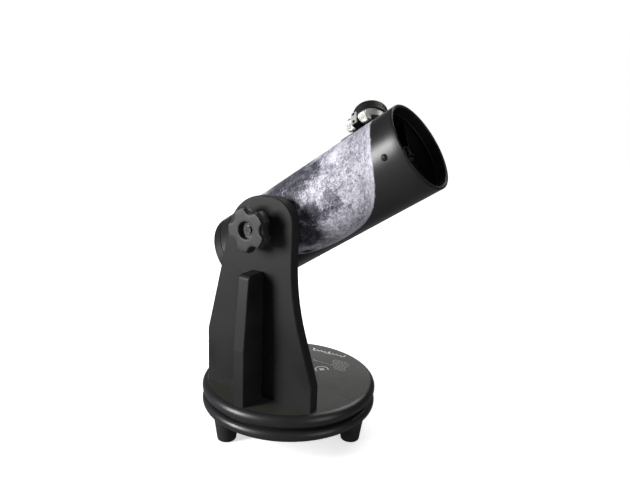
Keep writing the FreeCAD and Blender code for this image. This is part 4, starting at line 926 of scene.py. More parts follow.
@dataclass(frozen=True)
class MoonPrint:
    """A disc of cratered ground printed on the tube, drawn as a ball seen from straight ahead."""

    centre_station: float = 52.0
    centre_angle: float = -42.0
    disc_radius: float = 89.0
    arc_radius: float = 95.0
    tube_radius: float = 45.7
    seas: tuple[Patch, ...] = (
        Patch(30.0, -40.0, 33.0, 0.85),
        Patch(66.0, -48.0, 13.0, 0.75),
        Patch(4.0, -70.0, 22.0, 0.75),
        Patch(49.0, -101.0, 12.5, 1.0),
        Patch(61.0, -110.0, 9.0, 0.6),
        Patch(27.0, -122.0, 20.0, 0.9),
        Patch(78.0, -100.0, 12.0, 0.45),
        Patch(13.5, -145.0, 9.0, 0.8),
        Patch(52.0, 8.0, 26.0, 0.7),
        Patch(10.0, 20.0, 22.0, 0.7),
    )
    pits: tuple[Patch, ...] = (
        Patch(89.6, -117.0, 3.2, 0.8),
        Patch(74.3, -109.0, 2.6, 0.8),
        Patch(66.8, -134.0, 2.8, 0.7),
        Patch(13.5, -145.0, 6.5, 0.9),
        Patch(96.0, -46.0, 2.4, 0.6),
    )
    rayed: tuple[Patch, ...] = (
        Patch(96.0, -46.0, 46.0, 0.85),
        Patch(118.0, -78.0, 20.0, 0.4),
        Patch(40.0, -88.0, 16.0, 0.35),
    )

    flecks: tuple[tuple[float, float], ...] = ((15.0, 0.13), (42.0, 0.15), (95.0, 0.13))
    crater_layers: tuple[tuple[float, float, float], ...] = (
        (6.0, 0.4, 0.12),
        (13.0, 0.5, 0.30),
        (27.0, 0.6, 0.40),
        (50.0, 0.7, 0.40),
    )
    darkest: Colour = (0.012, 0.012, 0.018)
    brightest: Colour = (0.70, 0.69, 0.76)
    tones: tuple[tuple[float, Colour], ...] = (
        (0.24, (0.036, 0.037, 0.050)),
        (0.48, (0.150, 0.148, 0.185)),
        (0.70, (0.360, 0.353, 0.415)),
    )
    ray_gain: float = 0.52
    raggedness: float = 0.085

    def axes(self, tube: Axes) -> Axes:
        """Returns the frame at the disc's centre: X along the tube and Z out through the disc.

        Args:
            tube: the tube's frame.

        Returns:
            The frame of the print.
        """
        turn = math.radians(self.centre_angle)
        out = tube.y * math.sin(turn) + tube.z * math.cos(turn)
        middle = tube.at(self.centre_station, 0.0, 0.0)
        return Axes(middle.origin, tube.x, np.cross(out, tube.x), out)

    def on_ball(self, patch: Patch) -> tuple[float, float, float]:
        """Returns a feature's centre on a ball of radius one.

        Args:
            patch: the feature.

        Returns:
            Its x, y and depth.
        """
        x = (patch.station - self.centre_station) / self.disc_radius
        arc = math.radians(patch.angle - self.centre_angle) * self.tube_radius
        y = arc / self.arc_radius
        flat = math.hypot(x, y)
        if flat > 0.995:
            x, y = x * 0.995 / flat, y * 0.995 / flat
        return x, y, math.sqrt(1.0 - x * x - y * y)

    def ball_effect(self) -> Effect:
        """A place near the tube's wall turned into a place on the ball, with the distance from the disc's middle.

        Returns:
            The effect.
        """
        effect = Effect(
            "moon_ball",
            {"Place": (Socket.PLACE, None)},
            {"Ball": Socket.PLACE, "Reach": Socket.NUMBER, "Outside": Socket.NUMBER},
        )
        tree, given = effect.tree, effect.given
        parts = tree.add("SeparateXYZ", {0: given["Place"]}).outputs
        turn = tree.math("ARCTAN2", parts[1], parts[2])
        x = tree.math("DIVIDE", parts[0], self.disc_radius * MM)
        y = tree.math("MULTIPLY", turn, self.tube_radius / self.arc_radius)
        square = tree.math("ADD", tree.math("POWER", x, 2.0), tree.math("POWER", y, 2.0))
        depth = tree.math("SQRT", tree.math("MAXIMUM", tree.math("SUBTRACT", 1.0, square), 0.0))
        tree.feed(effect.result["Ball"], tree.add("CombineXYZ", {0: x, 1: y, 2: depth}).outputs[0])
        tree.feed(effect.result["Reach"], tree.math("SQRT", square))
        flat = tree.add("CombineXYZ", {0: 0.0, 1: parts[1], 2: parts[2]}).outputs[0]
        radius = tree.vector("LENGTH", flat).outputs["Value"]
        skin = tree.math("GREATER_THAN", radius, (self.tube_radius - 0.4) * MM)
        tree.feed(effect.result["Outside"], skin)
        return effect

    @staticmethod
    def crater_effect() -> Effect:
        """Craters of one size: each Voronoi cell holds a bowl with a lit wall, a shaded wall and a pale rim.

        Returns:
            The effect.
        """
        effect = Effect(
            "crater_field",
            {"Ball": (Socket.PLACE, None), "Density": (Socket.NUMBER, 12.0), "Share": (Socket.NUMBER, 0.5)},
            {"Light": Socket.NUMBER},
        )
        tree, given = effect.tree, effect.given
        cells = tree.add(
            "TexVoronoi", {"Vector": given["Ball"], "Scale": given["Density"], "Randomness": 1.0}
        ).outputs
        lottery = tree.add("SeparateColor", {0: cells["Color"]}).outputs
        size = tree.span(lottery[0], 0.0, 1.0, 0.12, 0.42)
        ratio = tree.math("DIVIDE", cells["Distance"], size)
        present = tree.math("LESS_THAN", lottery[1], given["Share"])
        rim = tree.math("SUBTRACT", 1.0, tree.math("MULTIPLY", tree.math("ABSOLUTE", tree.math(
            "SUBTRACT", ratio, 1.0)), 3.2), clamp=True)
        wall = tree.math("SUBTRACT", 1.0, tree.math("MULTIPLY", tree.math("ABSOLUTE", tree.math(
            "SUBTRACT", ratio, 0.72)), 3.4), clamp=True)
        away = tree.vector("NORMALIZE", tree.vector("SUBTRACT", given["Ball"], cells["Position"]).outputs[0])
        lit = tree.vector("DOT_PRODUCT", away.outputs[0], (0.80, -0.55, 0.2)).outputs["Value"]
        relief = tree.math("MULTIPLY", wall, lit)
        glow = tree.math("MULTIPLY_ADD", rim, 0.55, tree.math("MULTIPLY", relief, 0.75))
        tree.feed(effect.result["Light"], tree.math("MULTIPLY", glow, present))
        return effect

    @staticmethod
    def ray_effect() -> Effect:
        """Streaks that spread from a point: noise read at the bearing alone, fading with the distance.

        Returns:
            The effect.
        """
        effect = Effect(
            "crater_rays",
            {"Ball": (Socket.PLACE, None), "Centre": (Socket.PLACE, None), "Reach": (Socket.NUMBER, 0.4)},
            {"Light": Socket.NUMBER},
        )
        tree, given = effect.tree, effect.given
        offset = tree.vector("SUBTRACT", given["Ball"], given["Centre"]).outputs[0]
        parts = tree.add("SeparateXYZ", {0: offset}).outputs
        length = tree.vector("LENGTH", offset).outputs["Value"]
        bearing = tree.vector("NORMALIZE", tree.add("CombineXYZ", {0: parts[0], 1: parts[1], 2: 0.0}).outputs[0])
        far = tree.vector("SCALE", given["Ball"], scale=0.35).outputs[0]
        read = tree.vector("ADD", bearing.outputs[0], far).outputs[0]
        streak = tree.span(tree.noise(read, 5.5, 4.0, 0.7), 0.53, 0.72)
        share = tree.math("DIVIDE", length, given["Reach"])
        fade = tree.math("EXPONENT", tree.math("MULTIPLY", share, -2.2))
        halo = tree.math("EXPONENT", tree.math("MULTIPLY", tree.math("POWER", share, 2.0), -60.0))
        tree.feed(effect.result["Light"], tree.math("MULTIPLY_ADD", streak, fade, halo))
        return effect

    def material(self, paint: Paintshop, tube: Axes) -> bpy.types.Material:
        """Builds the tube's material: the moon inside the disc, satin black paint outside it, and a near-black
        inner wall that is flat black paint darkened as painted shade.

        Args:
            paint: makes the material and holds the shared effects.
            tube: the tube's frame.

        Returns:
            The material.
        """
        material, tree, shader = paint.start("tube_print")
        place = tree.objects(self.axes(tube))
        ball_parts = self.ball_effect().put(tree, {"Place": place})
        ball, reach = ball_parts["Ball"], ball_parts["Reach"]
        warp = tree.add("TexNoise", {"Vector": ball, "Scale": 6.0, "Detail": 8.0, "Roughness": 0.68})
        pull = tree.vector("SUBTRACT", warp.outputs["Color"], (0.5, 0.5, 0.5)).outputs[0]
        drawn = tree.vector("ADD", ball, tree.vector("SCALE", pull, scale=0.26).outputs[0]).outputs[0]
        bent = tree.vector("ADD", ball, tree.vector("SCALE", pull, scale=0.05).outputs[0]).outputs[0]

        cloud = tree.noise(ball, 3.2, 9.0, 0.70)
        tone = tree.math("MULTIPLY_ADD", tree.math("SUBTRACT", cloud, 0.5), 1.1, 0.66)
        sea = self.cover(tree, drawn, self.seas, 0.68)
        tone = tree.math("MULTIPLY", tone, tree.math("MULTIPLY_ADD", sea, -0.80, 1.0))
        for scale, gain in self.flecks:
            fleck = tree.span(tree.noise(bent, scale, 4.0, 0.72), 0.34, 0.66, -1.0, 1.0)
            tone = tree.math("MULTIPLY_ADD", fleck, gain, tone)

        craters = self.crater_effect()
        for density, share, gain in self.crater_layers:
            light = craters.put(tree, {"Ball": bent, "Density": density, "Share": share})["Light"]
            tone = tree.math("MULTIPLY_ADD", light, gain, tone)
        rays = self.ray_effect()
        for patch in self.rayed:
            given = {"Ball": ball, "Centre": self.on_ball(patch), "Reach": patch.radius / self.disc_radius}
            tone = tree.math("MULTIPLY_ADD", rays.put(tree, given)["Light"], self.ray_gain * patch.strength, tone)
        pits = self.cover(tree, drawn, self.pits, 0.75)
        tone = tree.math("MULTIPLY_ADD", pits, -0.30, tone)
        limb = tree.span(reach, 0.86, 1.0)
        hatch = tree.math("SUBTRACT", tree.noise(ball, 90.0, 3.0, 0.6), 0.44)
        tone = tree.math("MULTIPLY_ADD", tree.math("MULTIPLY", limb, hatch), 1.6, tone, clamp=True)

        moon = tree.add("ValToRGB", {0: tone})
        ramp = moon.color_ramp
        ramp.elements[0].position = 0.0
        ramp.elements[0].color = (*self.darkest, 1.0)
        ramp.elements[1].position = 1.0
        ramp.elements[1].color = (*self.brightest, 1.0)
        for position, colour in self.tones:
            ramp.elements.new(position).color = (*colour, 1.0)

        ragged = tree.math("SUBTRACT", tree.noise(ball, 34.0, 6.0, 0.78), 0.5)
        rag = tree.math("MULTIPLY_ADD", ragged, self.raggedness, reach)
        outside = ball_parts["Outside"]
        inside = tree.math("MULTIPLY", tree.span(rag, 0.994, 1.001, 1.0, 0.0), outside)
        grain = paint.effects.grain.put(tree, {"Place": place, "Size": 1700.0})
        black = tree.blend(grain["Shade"], (0.012, 0.012, 0.0125), (0.020, 0.020, 0.021))
        # painted shade: the inner wall gets a black far darker than paint, standing for flat black paint and the
        # shade inside the tube
        wall = tree.blend(outside, (0.0025, 0.0025, 0.0025), black)
        tree.feed(shader.inputs["Base Color"], tree.blend(inside, wall, moon.outputs[0]))
        satin = tree.span(grain["Shade"], 0.0, 1.0, 0.29, 0.37)
        rough = tree.math("MULTIPLY_ADD", tree.math("SUBTRACT", 1.0, outside), 0.3, satin)
        tree.feed(shader.inputs["Roughness"], tree.math("MULTIPLY_ADD", inside, 0.24, rough))
        shader.inputs["Specular IOR Level"].default_value = 0.48
        bump = {"Height": grain["Relief"], "Distance": 0.000015, "Strength": 1.0}
        tree.feed(shader.inputs["Normal"], tree.add("Bump", bump).outputs[0])
        return material

    def cover(self, tree: Tree, ball: Any, patches: tuple[Patch, ...], core: float) -> bpy.types.NodeSocket:
        """Returns how much soft round patches cover each place.

        Args:
            tree: the material's tree.
            ball: the place on the ball.
            patches: the patches, the strongest of which counts at each place.
            core: the share of a patch's radius inside which it is whole.

        Returns:
            A mask from 0 to 1.
        """
        cover: Any = 0.0
        for patch in patches:
            gap = tree.vector("DISTANCE", ball, self.on_ball(patch)).outputs["Value"]
            radius = patch.radius / self.disc_radius
            mask = tree.span(gap, core * radius, 1.25 * radius, patch.strength, 0.0)
            cover = tree.math("MAXIMUM", cover, mask)
        return cover


# ---------------------------------------------------------------------------------------------- sub-assemblies
def around(radius: float, degrees: float) -> tuple[float, float]:
    """Returns the two coordinates of a point on a circle."""
    turn = math.radians(degrees)
    return radius * math.cos(turn), radius * math.sin(turn)


@dataclass
class TurntableBase:
    """The two boards with their edging, the feet and the azimuth pivot."""

    shop: Workshop
    radius: float = 100.0
    board_radius: float = 93.5
    flat_lip: float = 0.9
    segments: int = 256
    foot_count: int = 3
    foot_circle: float = 80.0
    foot_first: float = -114.85
    foot_bottom: float = 10.3
    foot_top: float = 14.5
    foot_recess: float = 5.5
    foot_recess_depth: float = 14.0
    foot_edge: float = 2.0
    bolt_radius: float = 5.0
    nut_flats: float = 17.0
    bolt_pitch: float = 1.5
    ink_height: float = 0.06
    ink_width: float = 0.7
    flourish_start: tuple[float, float] = (-16.0, 78.0)
    flourish_length: float = 46.0
    flourish_loops: float = 8.5
    flourish_size: float = 3.4
    dash_rows: tuple[tuple[float, float, float], ...] = (
        (66.2, 24.0, 43.0),
        (63.0, 23.0, 47.0),
        (59.8, 24.0, 45.0),
        (56.6, 26.0, 49.0),
        (53.4, 28.0, 47.0),
        (50.2, 2.0, 50.0),
        (47.0, 33.0, 50.0),
        (43.8, 36.0, 51.0),
    )
    dash_longest: float = 3.6
    dash_gap: float = 1.3
    mark_spot: tuple[float, float] = (24.5, 33.5)
    mark_radius: float = 5.0
    arc_radius: float = 7.6
    arc_width: float = 1.5
    seed: int = 7

    def build(self) -> None:
        """Makes the edging, the feet, the pivot and the printed marks."""
        for node in ("lower_board", "upper_board", "slide_pads", "azimuth_bushing"):
            self.shop.dress(node)
        steel = self.shop.paint.get("zinc_steel", WORLD, "upright")
        for node in ("foot_screws", "azimuth_washer"):
            self.shop.dress(node, steel)
        self.edging("lower_edge_band", "base")
        self.edging("upper_edge_band", "turntable")
        for number in range(self.foot_count):
            self.foot(number)
        self.nut(steel)
        self.bolt(steel)
        self.print_marks()

    def edging(self, node: str, body: str) -> None:
        """Makes an edge moulding: a D section with a flat lip.

        Args:
            node: the CAD node that it stands for.
            body: the CAD body that it rides on.
        """
        low, high = (float(corner.z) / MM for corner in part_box(node))
        half = (high - low) / 2.0
        middle = low + half
        turn = np.linspace(-0.5, 0.5, 33) * math.pi
        bulge = self.radius - half
        start = max(bulge, self.board_radius + self.flat_lip)
        curve = np.stack([bulge + half * np.cos(turn), middle + half * np.sin(turn)], axis=1)
        curve = curve[curve[:, 0] >= start - 0.2]
        inner = self.board_radius
        lip = 0.25
        ends = np.array([[inner, high], [inner, low]])
        soft = np.array([[inner + lip, high], [inner, high - lip], [inner, low + lip], [inner + lip, low]])
        profile = np.vstack([curve, soft]) if half < self.radius - inner else np.vstack([curve, ends])
        mesh = lathe(profile, self.segments, True)
        self.shop.piece(node + "_moulding", mesh, body, "edge_moulding",
                        self.shop.paint.get("edge_moulding", WORLD, "ring"), (node,))

    def foot(self, number: int) -> None:
        """Makes one rubber foot: a tapered cup with a rounded tread, a waist line and a screw recess.

        Args:
            number: which foot, from zero.
        """
        x, y = around(self.foot_circle, self.foot_first + 360.0 * number / self.foot_count)
        node = f"foot_{number + 1}"
        top = float(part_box(node)[1].z) / MM
        slope = (self.foot_top - self.foot_bottom) / top
        ring = top * 0.86
        profile = rounded([
            (0.0, self.foot_recess_depth, 0.0),
            (self.foot_recess, self.foot_recess_depth, 0.6),
            (self.foot_recess, 0.0, 0.7),
            (self.foot_bottom, 0.0, self.foot_edge),
            (self.foot_bottom + slope * ring, ring, 0.0),
            (self.foot_bottom + slope * ring - 0.35, ring + 0.35, 0.0),
            (self.foot_bottom + slope * ring - 0.35, ring + 0.85, 0.0),
            (self.foot_bottom + slope * (ring + 1.2), ring + 1.2, 0.0),
            (self.foot_top, top, 0.3),
            (0.0, top, 0.0),
        ], 6, loop=False)
        mesh = lathe(profile, 72, False).placed(WORLD.at(x, y, 0.0))
        self.shop.piece(node + "_rubber", mesh, "base", "foot_rubber", self.shop.paint.get("foot_rubber"), (node,))

    def nut(self, steel: bpy.types.Material) -> None:
        """Makes the lock nut: a hexagon whose corners are cut by a cone, with a nylon collar's dome on top.

        Args:
            steel: the material that it wears.
        """
        low, high = (float(corner.z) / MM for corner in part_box("azimuth_nut"))
        flat = self.nut_flats / 2.0
        count = 144
        height = high - low
        share = np.array([0.0, 0.03, 0.08, 0.15, 0.62, 0.68, 0.72, 0.76, 0.80, 0.86, 0.92, 0.97, 1.0])[:, None]
        angle = np.linspace(0.0, TURN, count, endpoint=False)[None, :]
        sector = (angle + TURN / 12.0) % (TURN / 6.0) - TURN / 12.0
        hexagon = flat / np.cos(sector)
        cone = flat * np.interp(share, [0.0, 0.08, 0.15, 0.68, 0.80, 0.92, 1.0],
                                [1.0, 1.12, 1.2, 1.2, 0.94, 0.88, 0.76])
        outer = np.minimum(hexagon, cone)
        z = low + share * height + np.zeros_like(angle)
        wall = np.stack([outer * np.cos(angle), outer * np.sin(angle), z], axis=-1)
        bore = np.full_like(angle, self.bolt_radius + 0.05)
        rim = [np.stack([bore * np.cos(angle), bore * np.sin(angle), np.full_like(angle, level)], axis=-1)
               for level in (high - 0.4, low)]
        grid = np.concatenate([wall] + rim, axis=0)
        mesh = sheet_mesh(grid, True, True).outward()
        self.shop.piece("pivot_nut", mesh, "base", "zinc_steel", steel, ("azimuth_nut",), sharp=24.0)

    def bolt(self, steel: bpy.types.Material) -> None:
        """Makes the pivot bolt: a hexagon head below the lower board and a threaded end above the nut.

        Args:
            steel: the material that it wears.
        """
        low, high = (float(corner.z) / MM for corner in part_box("azimuth_bolt"))
        board = float(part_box("lower_board")[0].z) / MM
        thread_start = float(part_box("azimuth_nut")[0].z) / MM
        flat = self.nut_flats / 2.0
        rise = np.arange(thread_start, high - 0.8, self.bolt_pitch / 8.0)
        thread = np.stack([np.full_like(rise, self.bolt_radius), rise], axis=1)
        shank = np.array([[0.0, low], [flat * 0.90, low], [flat * 1.06, low + 0.7], [flat * 1.16, low + 1.4],
                          [flat * 1.16, board - 0.02], [self.bolt_radius, board - 0.01]])
        end = np.array([[self.bolt_radius - 0.9, high], [0.0, high]])
        ridge = thread_swell(self.bolt_pitch, 0.7)

        def shape(angle: Array, height: Array) -> Array:
            """Cuts the head to a hexagon and the end to a thread.

            Args:
                angle: angles about the axis.
                height: heights along it.

            Returns:
                What is added to the radius.
            """
            sector = (angle + TURN / 12.0) % (TURN / 6.0) - TURN / 12.0
            head = np.minimum(0.0, flat / np.cos(sector) - flat * 1.16)
            cut = np.where(height < board, head, 0.0)
            live = (height > thread_start) & (height < high - 0.85)
            return np.where(live, ridge(angle, height), cut)

        mesh = lathe(np.vstack([shank, thread, end]), 72, False, shape)
        self.shop.piece("pivot_bolt", mesh, "base", "zinc_steel", steel, ("azimuth_bolt",), sharp=30.0)

    def print_marks(self) -> None:
        """Prints a made-up looping flourish, rows of short dashes and a four-pointed star on the upper board."""
        top = float(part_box("upper_board")[1].z) / MM
        mesh = ribbon(self.flourish(), self.ink_width * 1.8, self.ink_height)
        dice = np.random.default_rng(self.seed)
        for y, left, right in self.dash_rows:
            x = left
            while x < right - 1.0:
                length = float(dice.uniform(1.0, self.dash_longest))
                line = np.array([[x, y], [min(x + length, right), y]])
                mesh.add(ribbon(line, self.ink_width, self.ink_height))
                x += length + self.dash_gap
        x, y = self.mark_spot
        mesh.add(self.star(x, y, self.mark_radius))
        turn = np.linspace(0.06 * TURN, 0.70 * TURN, 48)
        arc = np.stack([x + self.arc_radius * np.cos(turn), y + self.arc_radius * np.sin(turn)], axis=1)
        mesh.add(ribbon(arc, self.arc_width, self.ink_height))
        mesh.points[:, 2] += top
        ink = self.shop.paint.get("white_ink")
        self.shop.piece("base_print", mesh, "turntable", "board_laminate", ink)

    def flourish(self) -> Array:
        """Returns a looping pen line: a walk along X with circles added, whose size swells twice on the way.

        Returns:
            The line's points, as x and y.
        """
        walk = np.linspace(0.0, 1.0, 420)
        turn = walk * self.flourish_loops * TURN
        swell = self.flourish_size * (0.35 + 0.65 * np.cos(walk * TURN) ** 4)
        x = self.flourish_start[0] + self.flourish_length * walk + 0.55 * swell * np.cos(turn)
        y = self.flourish_start[1] + 4.0 * walk + swell * np.sin(turn)
        return np.stack([x, y], axis=1)

    def star(self, x: float, y: float, radius: float) -> Mesh:
        """Returns a four-pointed star whose edge is an astroid, a cube of cosine and sine.

        Args:
            x: the middle, along X.
            y: the middle, along Y.
            radius: the length of a point.

        Returns:
            A thin closed star.
        """
        turn = np.linspace(0.0, TURN, 32, endpoint=False)
        outline = np.stack([x + radius * np.cos(turn) ** 3, y + radius * np.sin(turn) ** 3], axis=1)
        return polygon(outline, 0.0, self.ink_height)


@dataclass
class Arm:
    """The upright panel, its rib and their screws."""

    shop: Workshop

    def build(self) -> None:
        """Dresses the arm's nodes."""
        for node in ("side_arm", "gusset_rib", "arm_screws", "rib_screws"):
            self.shop.dress(node)


@dataclass
class AltitudePivot:
    """The clamp knob, its insert, the washers and the shaft between arm and tube."""

    shop: Workshop
    lobes: int = 5
    radius: float = 23.7
    flute_radius: float = 10.2
    flute_circle: float = 29.0
    first_flute: float = 6.0
    softness: float = 0.7
    thickness: float = 13.0
    hub_radius: float = 11.0
    hub_length: float = 8.0
    recess_radius: float = 8.8
    recess_depth: float = 5.0
    insert_radius: float = 6.6
    count: int = 360

    def build(self) -> None:
        """Makes the knob and dresses the pivot's nodes, with turned metal about the altitude axis."""
        model = self.shop.model
        axle = Axes(model.pivot, WORLD.x, -WORLD.z, WORLD.y)
        for node in ("altitude_bushing", "friction_disc", "knob_washer", "tube_bracket", "bracket_screws"):
            self.shop.dress(node)
        dark = self.shop.paint.get("dark_steel", axle, "axle")
        self.shop.dress("knob_insert", dark)
        self.shop.dress("altitude_bolt", dark)
        self.knob()

    def outline(self, angle: Array) -> Array:
        """The knob's outline: the smaller of a circle and the near side of each flute's circle, softly joined.

        Args:
            angle: angles about the knob's axis.

        Returns:
            The radius at each angle.
        """
        pitch = TURN / self.lobes
        off = (angle - math.radians(self.first_flute) + pitch / 2.0) % pitch - pitch / 2.0
        across = self.flute_circle * np.sin(off)
        inside = np.clip(self.flute_radius**2 - across**2, 0.0, None)
        flute = self.flute_circle * np.cos(off) - np.sqrt(inside)
        flute = np.where(np.abs(across) < self.flute_radius, flute, self.flute_circle * np.cos(off))
        flute = np.where(np.abs(off) > 0.5, 2.0 * self.radius, flute)
        soft = self.softness
        low = np.minimum(flute, self.radius)
        return low - soft * np.log(np.exp(-(flute - low) / soft) + np.exp(-(self.radius - low) / soft))

    def knob(self) -> None:
        """Makes the knob: its outline at an inset that changes with the height, over a round recess and hub."""
        front = float(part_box("altitude_knob")[0].y) / MM
        axes = Axes(np.array([self.shop.model.pivot[0], front + self.thickness, self.shop.model.pivot[2]]),
                    WORLD.x, WORLD.z, -WORLD.y)
        top = self.thickness
        round_profile = rounded([
            (self.insert_radius + 0.05, -self.hub_length, 0.2),
            (self.insert_radius + 0.05, top - self.recess_depth, 0.2),
            (self.recess_radius, top - self.recess_depth, 0.3),
            (self.recess_radius, top, 0.7),
            (self.recess_radius + 3.0, top, 0.0),
        ], 4, loop=False)
        edge_profile = rounded([
            (7.0, top, 0.0),
            (2.3, top, 0.7),
            (1.9, top - 1.2, 0.3),
            (2.7, top - 1.5, 0.15),
            (2.7, top - 2.2, 0.15),
            (1.5, top - 2.2, 0.5),
            (0.0, top - 4.4, 1.8),
            (0.0, 0.0, 1.8),
            (5.5, 0.0, 0.0),
        ], 5, loop=False)
        hub_profile = rounded([
            (self.hub_radius + 1.0, 0.0, 0.0),
            (self.hub_radius, 0.0, 0.4),
            (self.hub_radius, -self.hub_length, 0.5),
            (self.insert_radius + 0.6, -self.hub_length, 0.0),
        ], 4, loop=False)
        angle = np.linspace(0.0, TURN, self.count, endpoint=False)[None, :]
        reach = self.outline(angle)
        inner = round_profile[:, :1] + np.zeros_like(angle)
        outer = reach - edge_profile[:, :1]
        hub = hub_profile[:, :1] + np.zeros_like(angle)
        radius = np.vstack([inner, outer, hub])
        height = np.concatenate([round_profile[:, 1], edge_profile[:, 1], hub_profile[:, 1]])[:, None]
        grid = np.stack([radius * np.cos(angle), radius * np.sin(angle), height + np.zeros_like(radius)], axis=-1)
        mesh = sheet_mesh(grid, True, True).placed(axes).outward()
        self.shop.piece("star_knob", mesh, "clamp_knob", "knob_plastic", self.shop.paint.get("knob_plastic"),
                        ("altitude_knob",))


@dataclass
class OpticalTube:
    """The tube with its printed moon, its ring and cap, and the optics inside."""

    shop: Workshop
    radius: float = 45.7
    bore: float = 44.5
    rear: float = -75.4
    front: float = 163.5
    ring_front: float = 166.0
    ring_bore: float = 42.5
    ring_depth: float = 12.0
    bead: float = 0.35
    window_radius: float = 20.5
    seam_depth: float = 0.8
    screw_station: float = 147.0
    screw_angles: tuple[float, ...] = (31.5, 151.5, 271.5)
    screw_radius: float = 3.3
    screw_height: float = 1.7
    segments: int = 256

    def build(self) -> None:
        """Makes the tube, its front ring and its screws, and dresses the other nodes."""
        model, paint = self.shop.model, self.shop.paint
        spin = Axes(model.tube.origin, model.tube.y, model.tube.z, model.tube.x)
        print_finish = MoonPrint().material(paint, model.tube)
        shell = self.shop.piece("tube_shell", self.wall(spin), "optical_tube", "tube_print", print_finish,
                                ("main_tube",))
        self.cut_window(shell)
        self.front_ring(spin)
        self.screws()
        for node in ("rear_cap", "mirror_cell", "mirror_clips", "clip_screws", "cell_screws", "primary_mirror",
                     "secondary_mirror"):
            self.shop.dress(node)
        # painted shade: the spider and the secondary's parts wear a black darker than paint, standing for the
        # shade inside the tube
        shade_darkened_black = paint.get("flat_black_with_painted_shade")
        for node in ("spider", "spider_nuts", "secondary_holder", "secondary_bolt", "tilt_screws"):
            self.shop.dress(node, shade_darkened_black)

    def wall(self, spin: Axes) -> Mesh:
        """Returns the tube's wall, with its ends broken by a small radius.

        Args:
            spin: the tube's frame with Z along it.

        Returns:
            A closed wall.
        """
        stations = np.linspace(self.rear + 1.0, self.front - 1.0, 40)
        outside = np.stack([np.full_like(stations, self.radius), stations], axis=1)
        inside = np.stack([np.full_like(stations, self.bore), stations[::-1]], axis=1)
        seam = self.radius - self.seam_depth
        ends = [np.array([[self.radius - 0.15, self.front], [self.bore + 0.15, self.front]]),
                np.array([[self.bore + 0.15, self.rear], [seam, self.rear], [seam, self.rear + 0.7]])]
        return lathe(np.vstack([outside, ends[0], inside, ends[1]]), self.segments, True).placed(spin)

    def cut_window(self, shell: bpy.types.Object) -> None:
        """Cuts the round window under the focuser out of the tube's wall.

        Args:
            shell: the wall's object.
        """
        depth = self.radius + 10.0
        profile = np.array([[0.0, self.bore / 2.0], [self.window_radius, self.bore / 2.0],
                            [self.window_radius, depth], [0.0, depth]])
        plug = lathe(profile, 128, False).placed(self.shop.model.focuser)
        data = bpy.data.meshes.new("window_cutter")
        data.from_pydata((plug.points * MM).tolist(), [], plug.faces)
        cutter = bpy.data.objects.new("window_cutter", data)
        bpy.context.scene.collection.objects.link(cutter)
        cut = shell.modifiers.new("window", "BOOLEAN")
        cut.operation = "DIFFERENCE"
        cut.solver = "EXACT"
        cut.object = cutter
        bpy.context.view_layer.update()
        cut_mesh = bpy.data.meshes.new_from_object(shell.evaluated_get(bpy.context.evaluated_depsgraph_get()))
        shell.modifiers.clear()
        shell.data = cut_mesh
        bpy.data.objects.remove(cutter)

    def front_ring(self, spin: Axes) -> None:
        """Makes the ring in the tube's mouth: a lip over the wall's end and a spigot that ends in a small bead.

        Args:
            spin: the tube's frame with Z along it.
        """
        back = self.ring_front - self.ring_depth
        profile = rounded([
            (self.radius, self.front + 0.02, 0.2),
            (self.radius, self.ring_front, 0.9),
            (self.radius - 1.5, self.ring_front, 0.0),
            (self.radius - 1.7, self.ring_front - 0.35, 0.0),
            (self.ring_bore, self.ring_front - 0.6, 0.5),
            (self.ring_bore, back + 1.6, 0.2),
            (self.ring_bore - self.bead, back + 1.0, 0.3),
            (self.ring_bore - self.bead, back, 0.3),
            (self.bore, back, 0.2),
            (self.bore, self.front + 0.02, 0.05),
        ], 5)
        mesh = lathe(profile, self.segments, True).placed(spin)
        self.shop.piece("mouth_ring", mesh, "optical_tube", "black_plastic",
                        self.shop.paint.get("black_plastic"), ("front_ring",))

    def screws(self) -> None:
        """Makes the spider's screws: a head with a cross recess and a plain shank that goes in to the nut."""
        mesh = Mesh()
        tube = self.shop.model.tube
        for degrees in self.screw_angles:
            y, z = around(1.0, 90.0 - degrees)
            out = tube.y * y + tube.z * z
            seat = tube.place(np.array([self.screw_station, y * self.radius, z * self.radius]))
            axes = Axes(seat, tube.x, np.cross(out, tube.x), out)
            mesh.add(screw_head(self.screw_radius, self.screw_height).placed(axes))
            shank = np.array([[0.0, -5.4], [1.4, -5.4], [1.7, -5.0], [1.7, -0.01], [0.0, -0.01]])
            mesh.add(lathe(shank, 40, False).placed(axes))
        self.shop.piece("spider_screw_heads", mesh, "optical_tube", "black_steel",
                        self.shop.paint.get("black_steel"), ("spider_screws",))


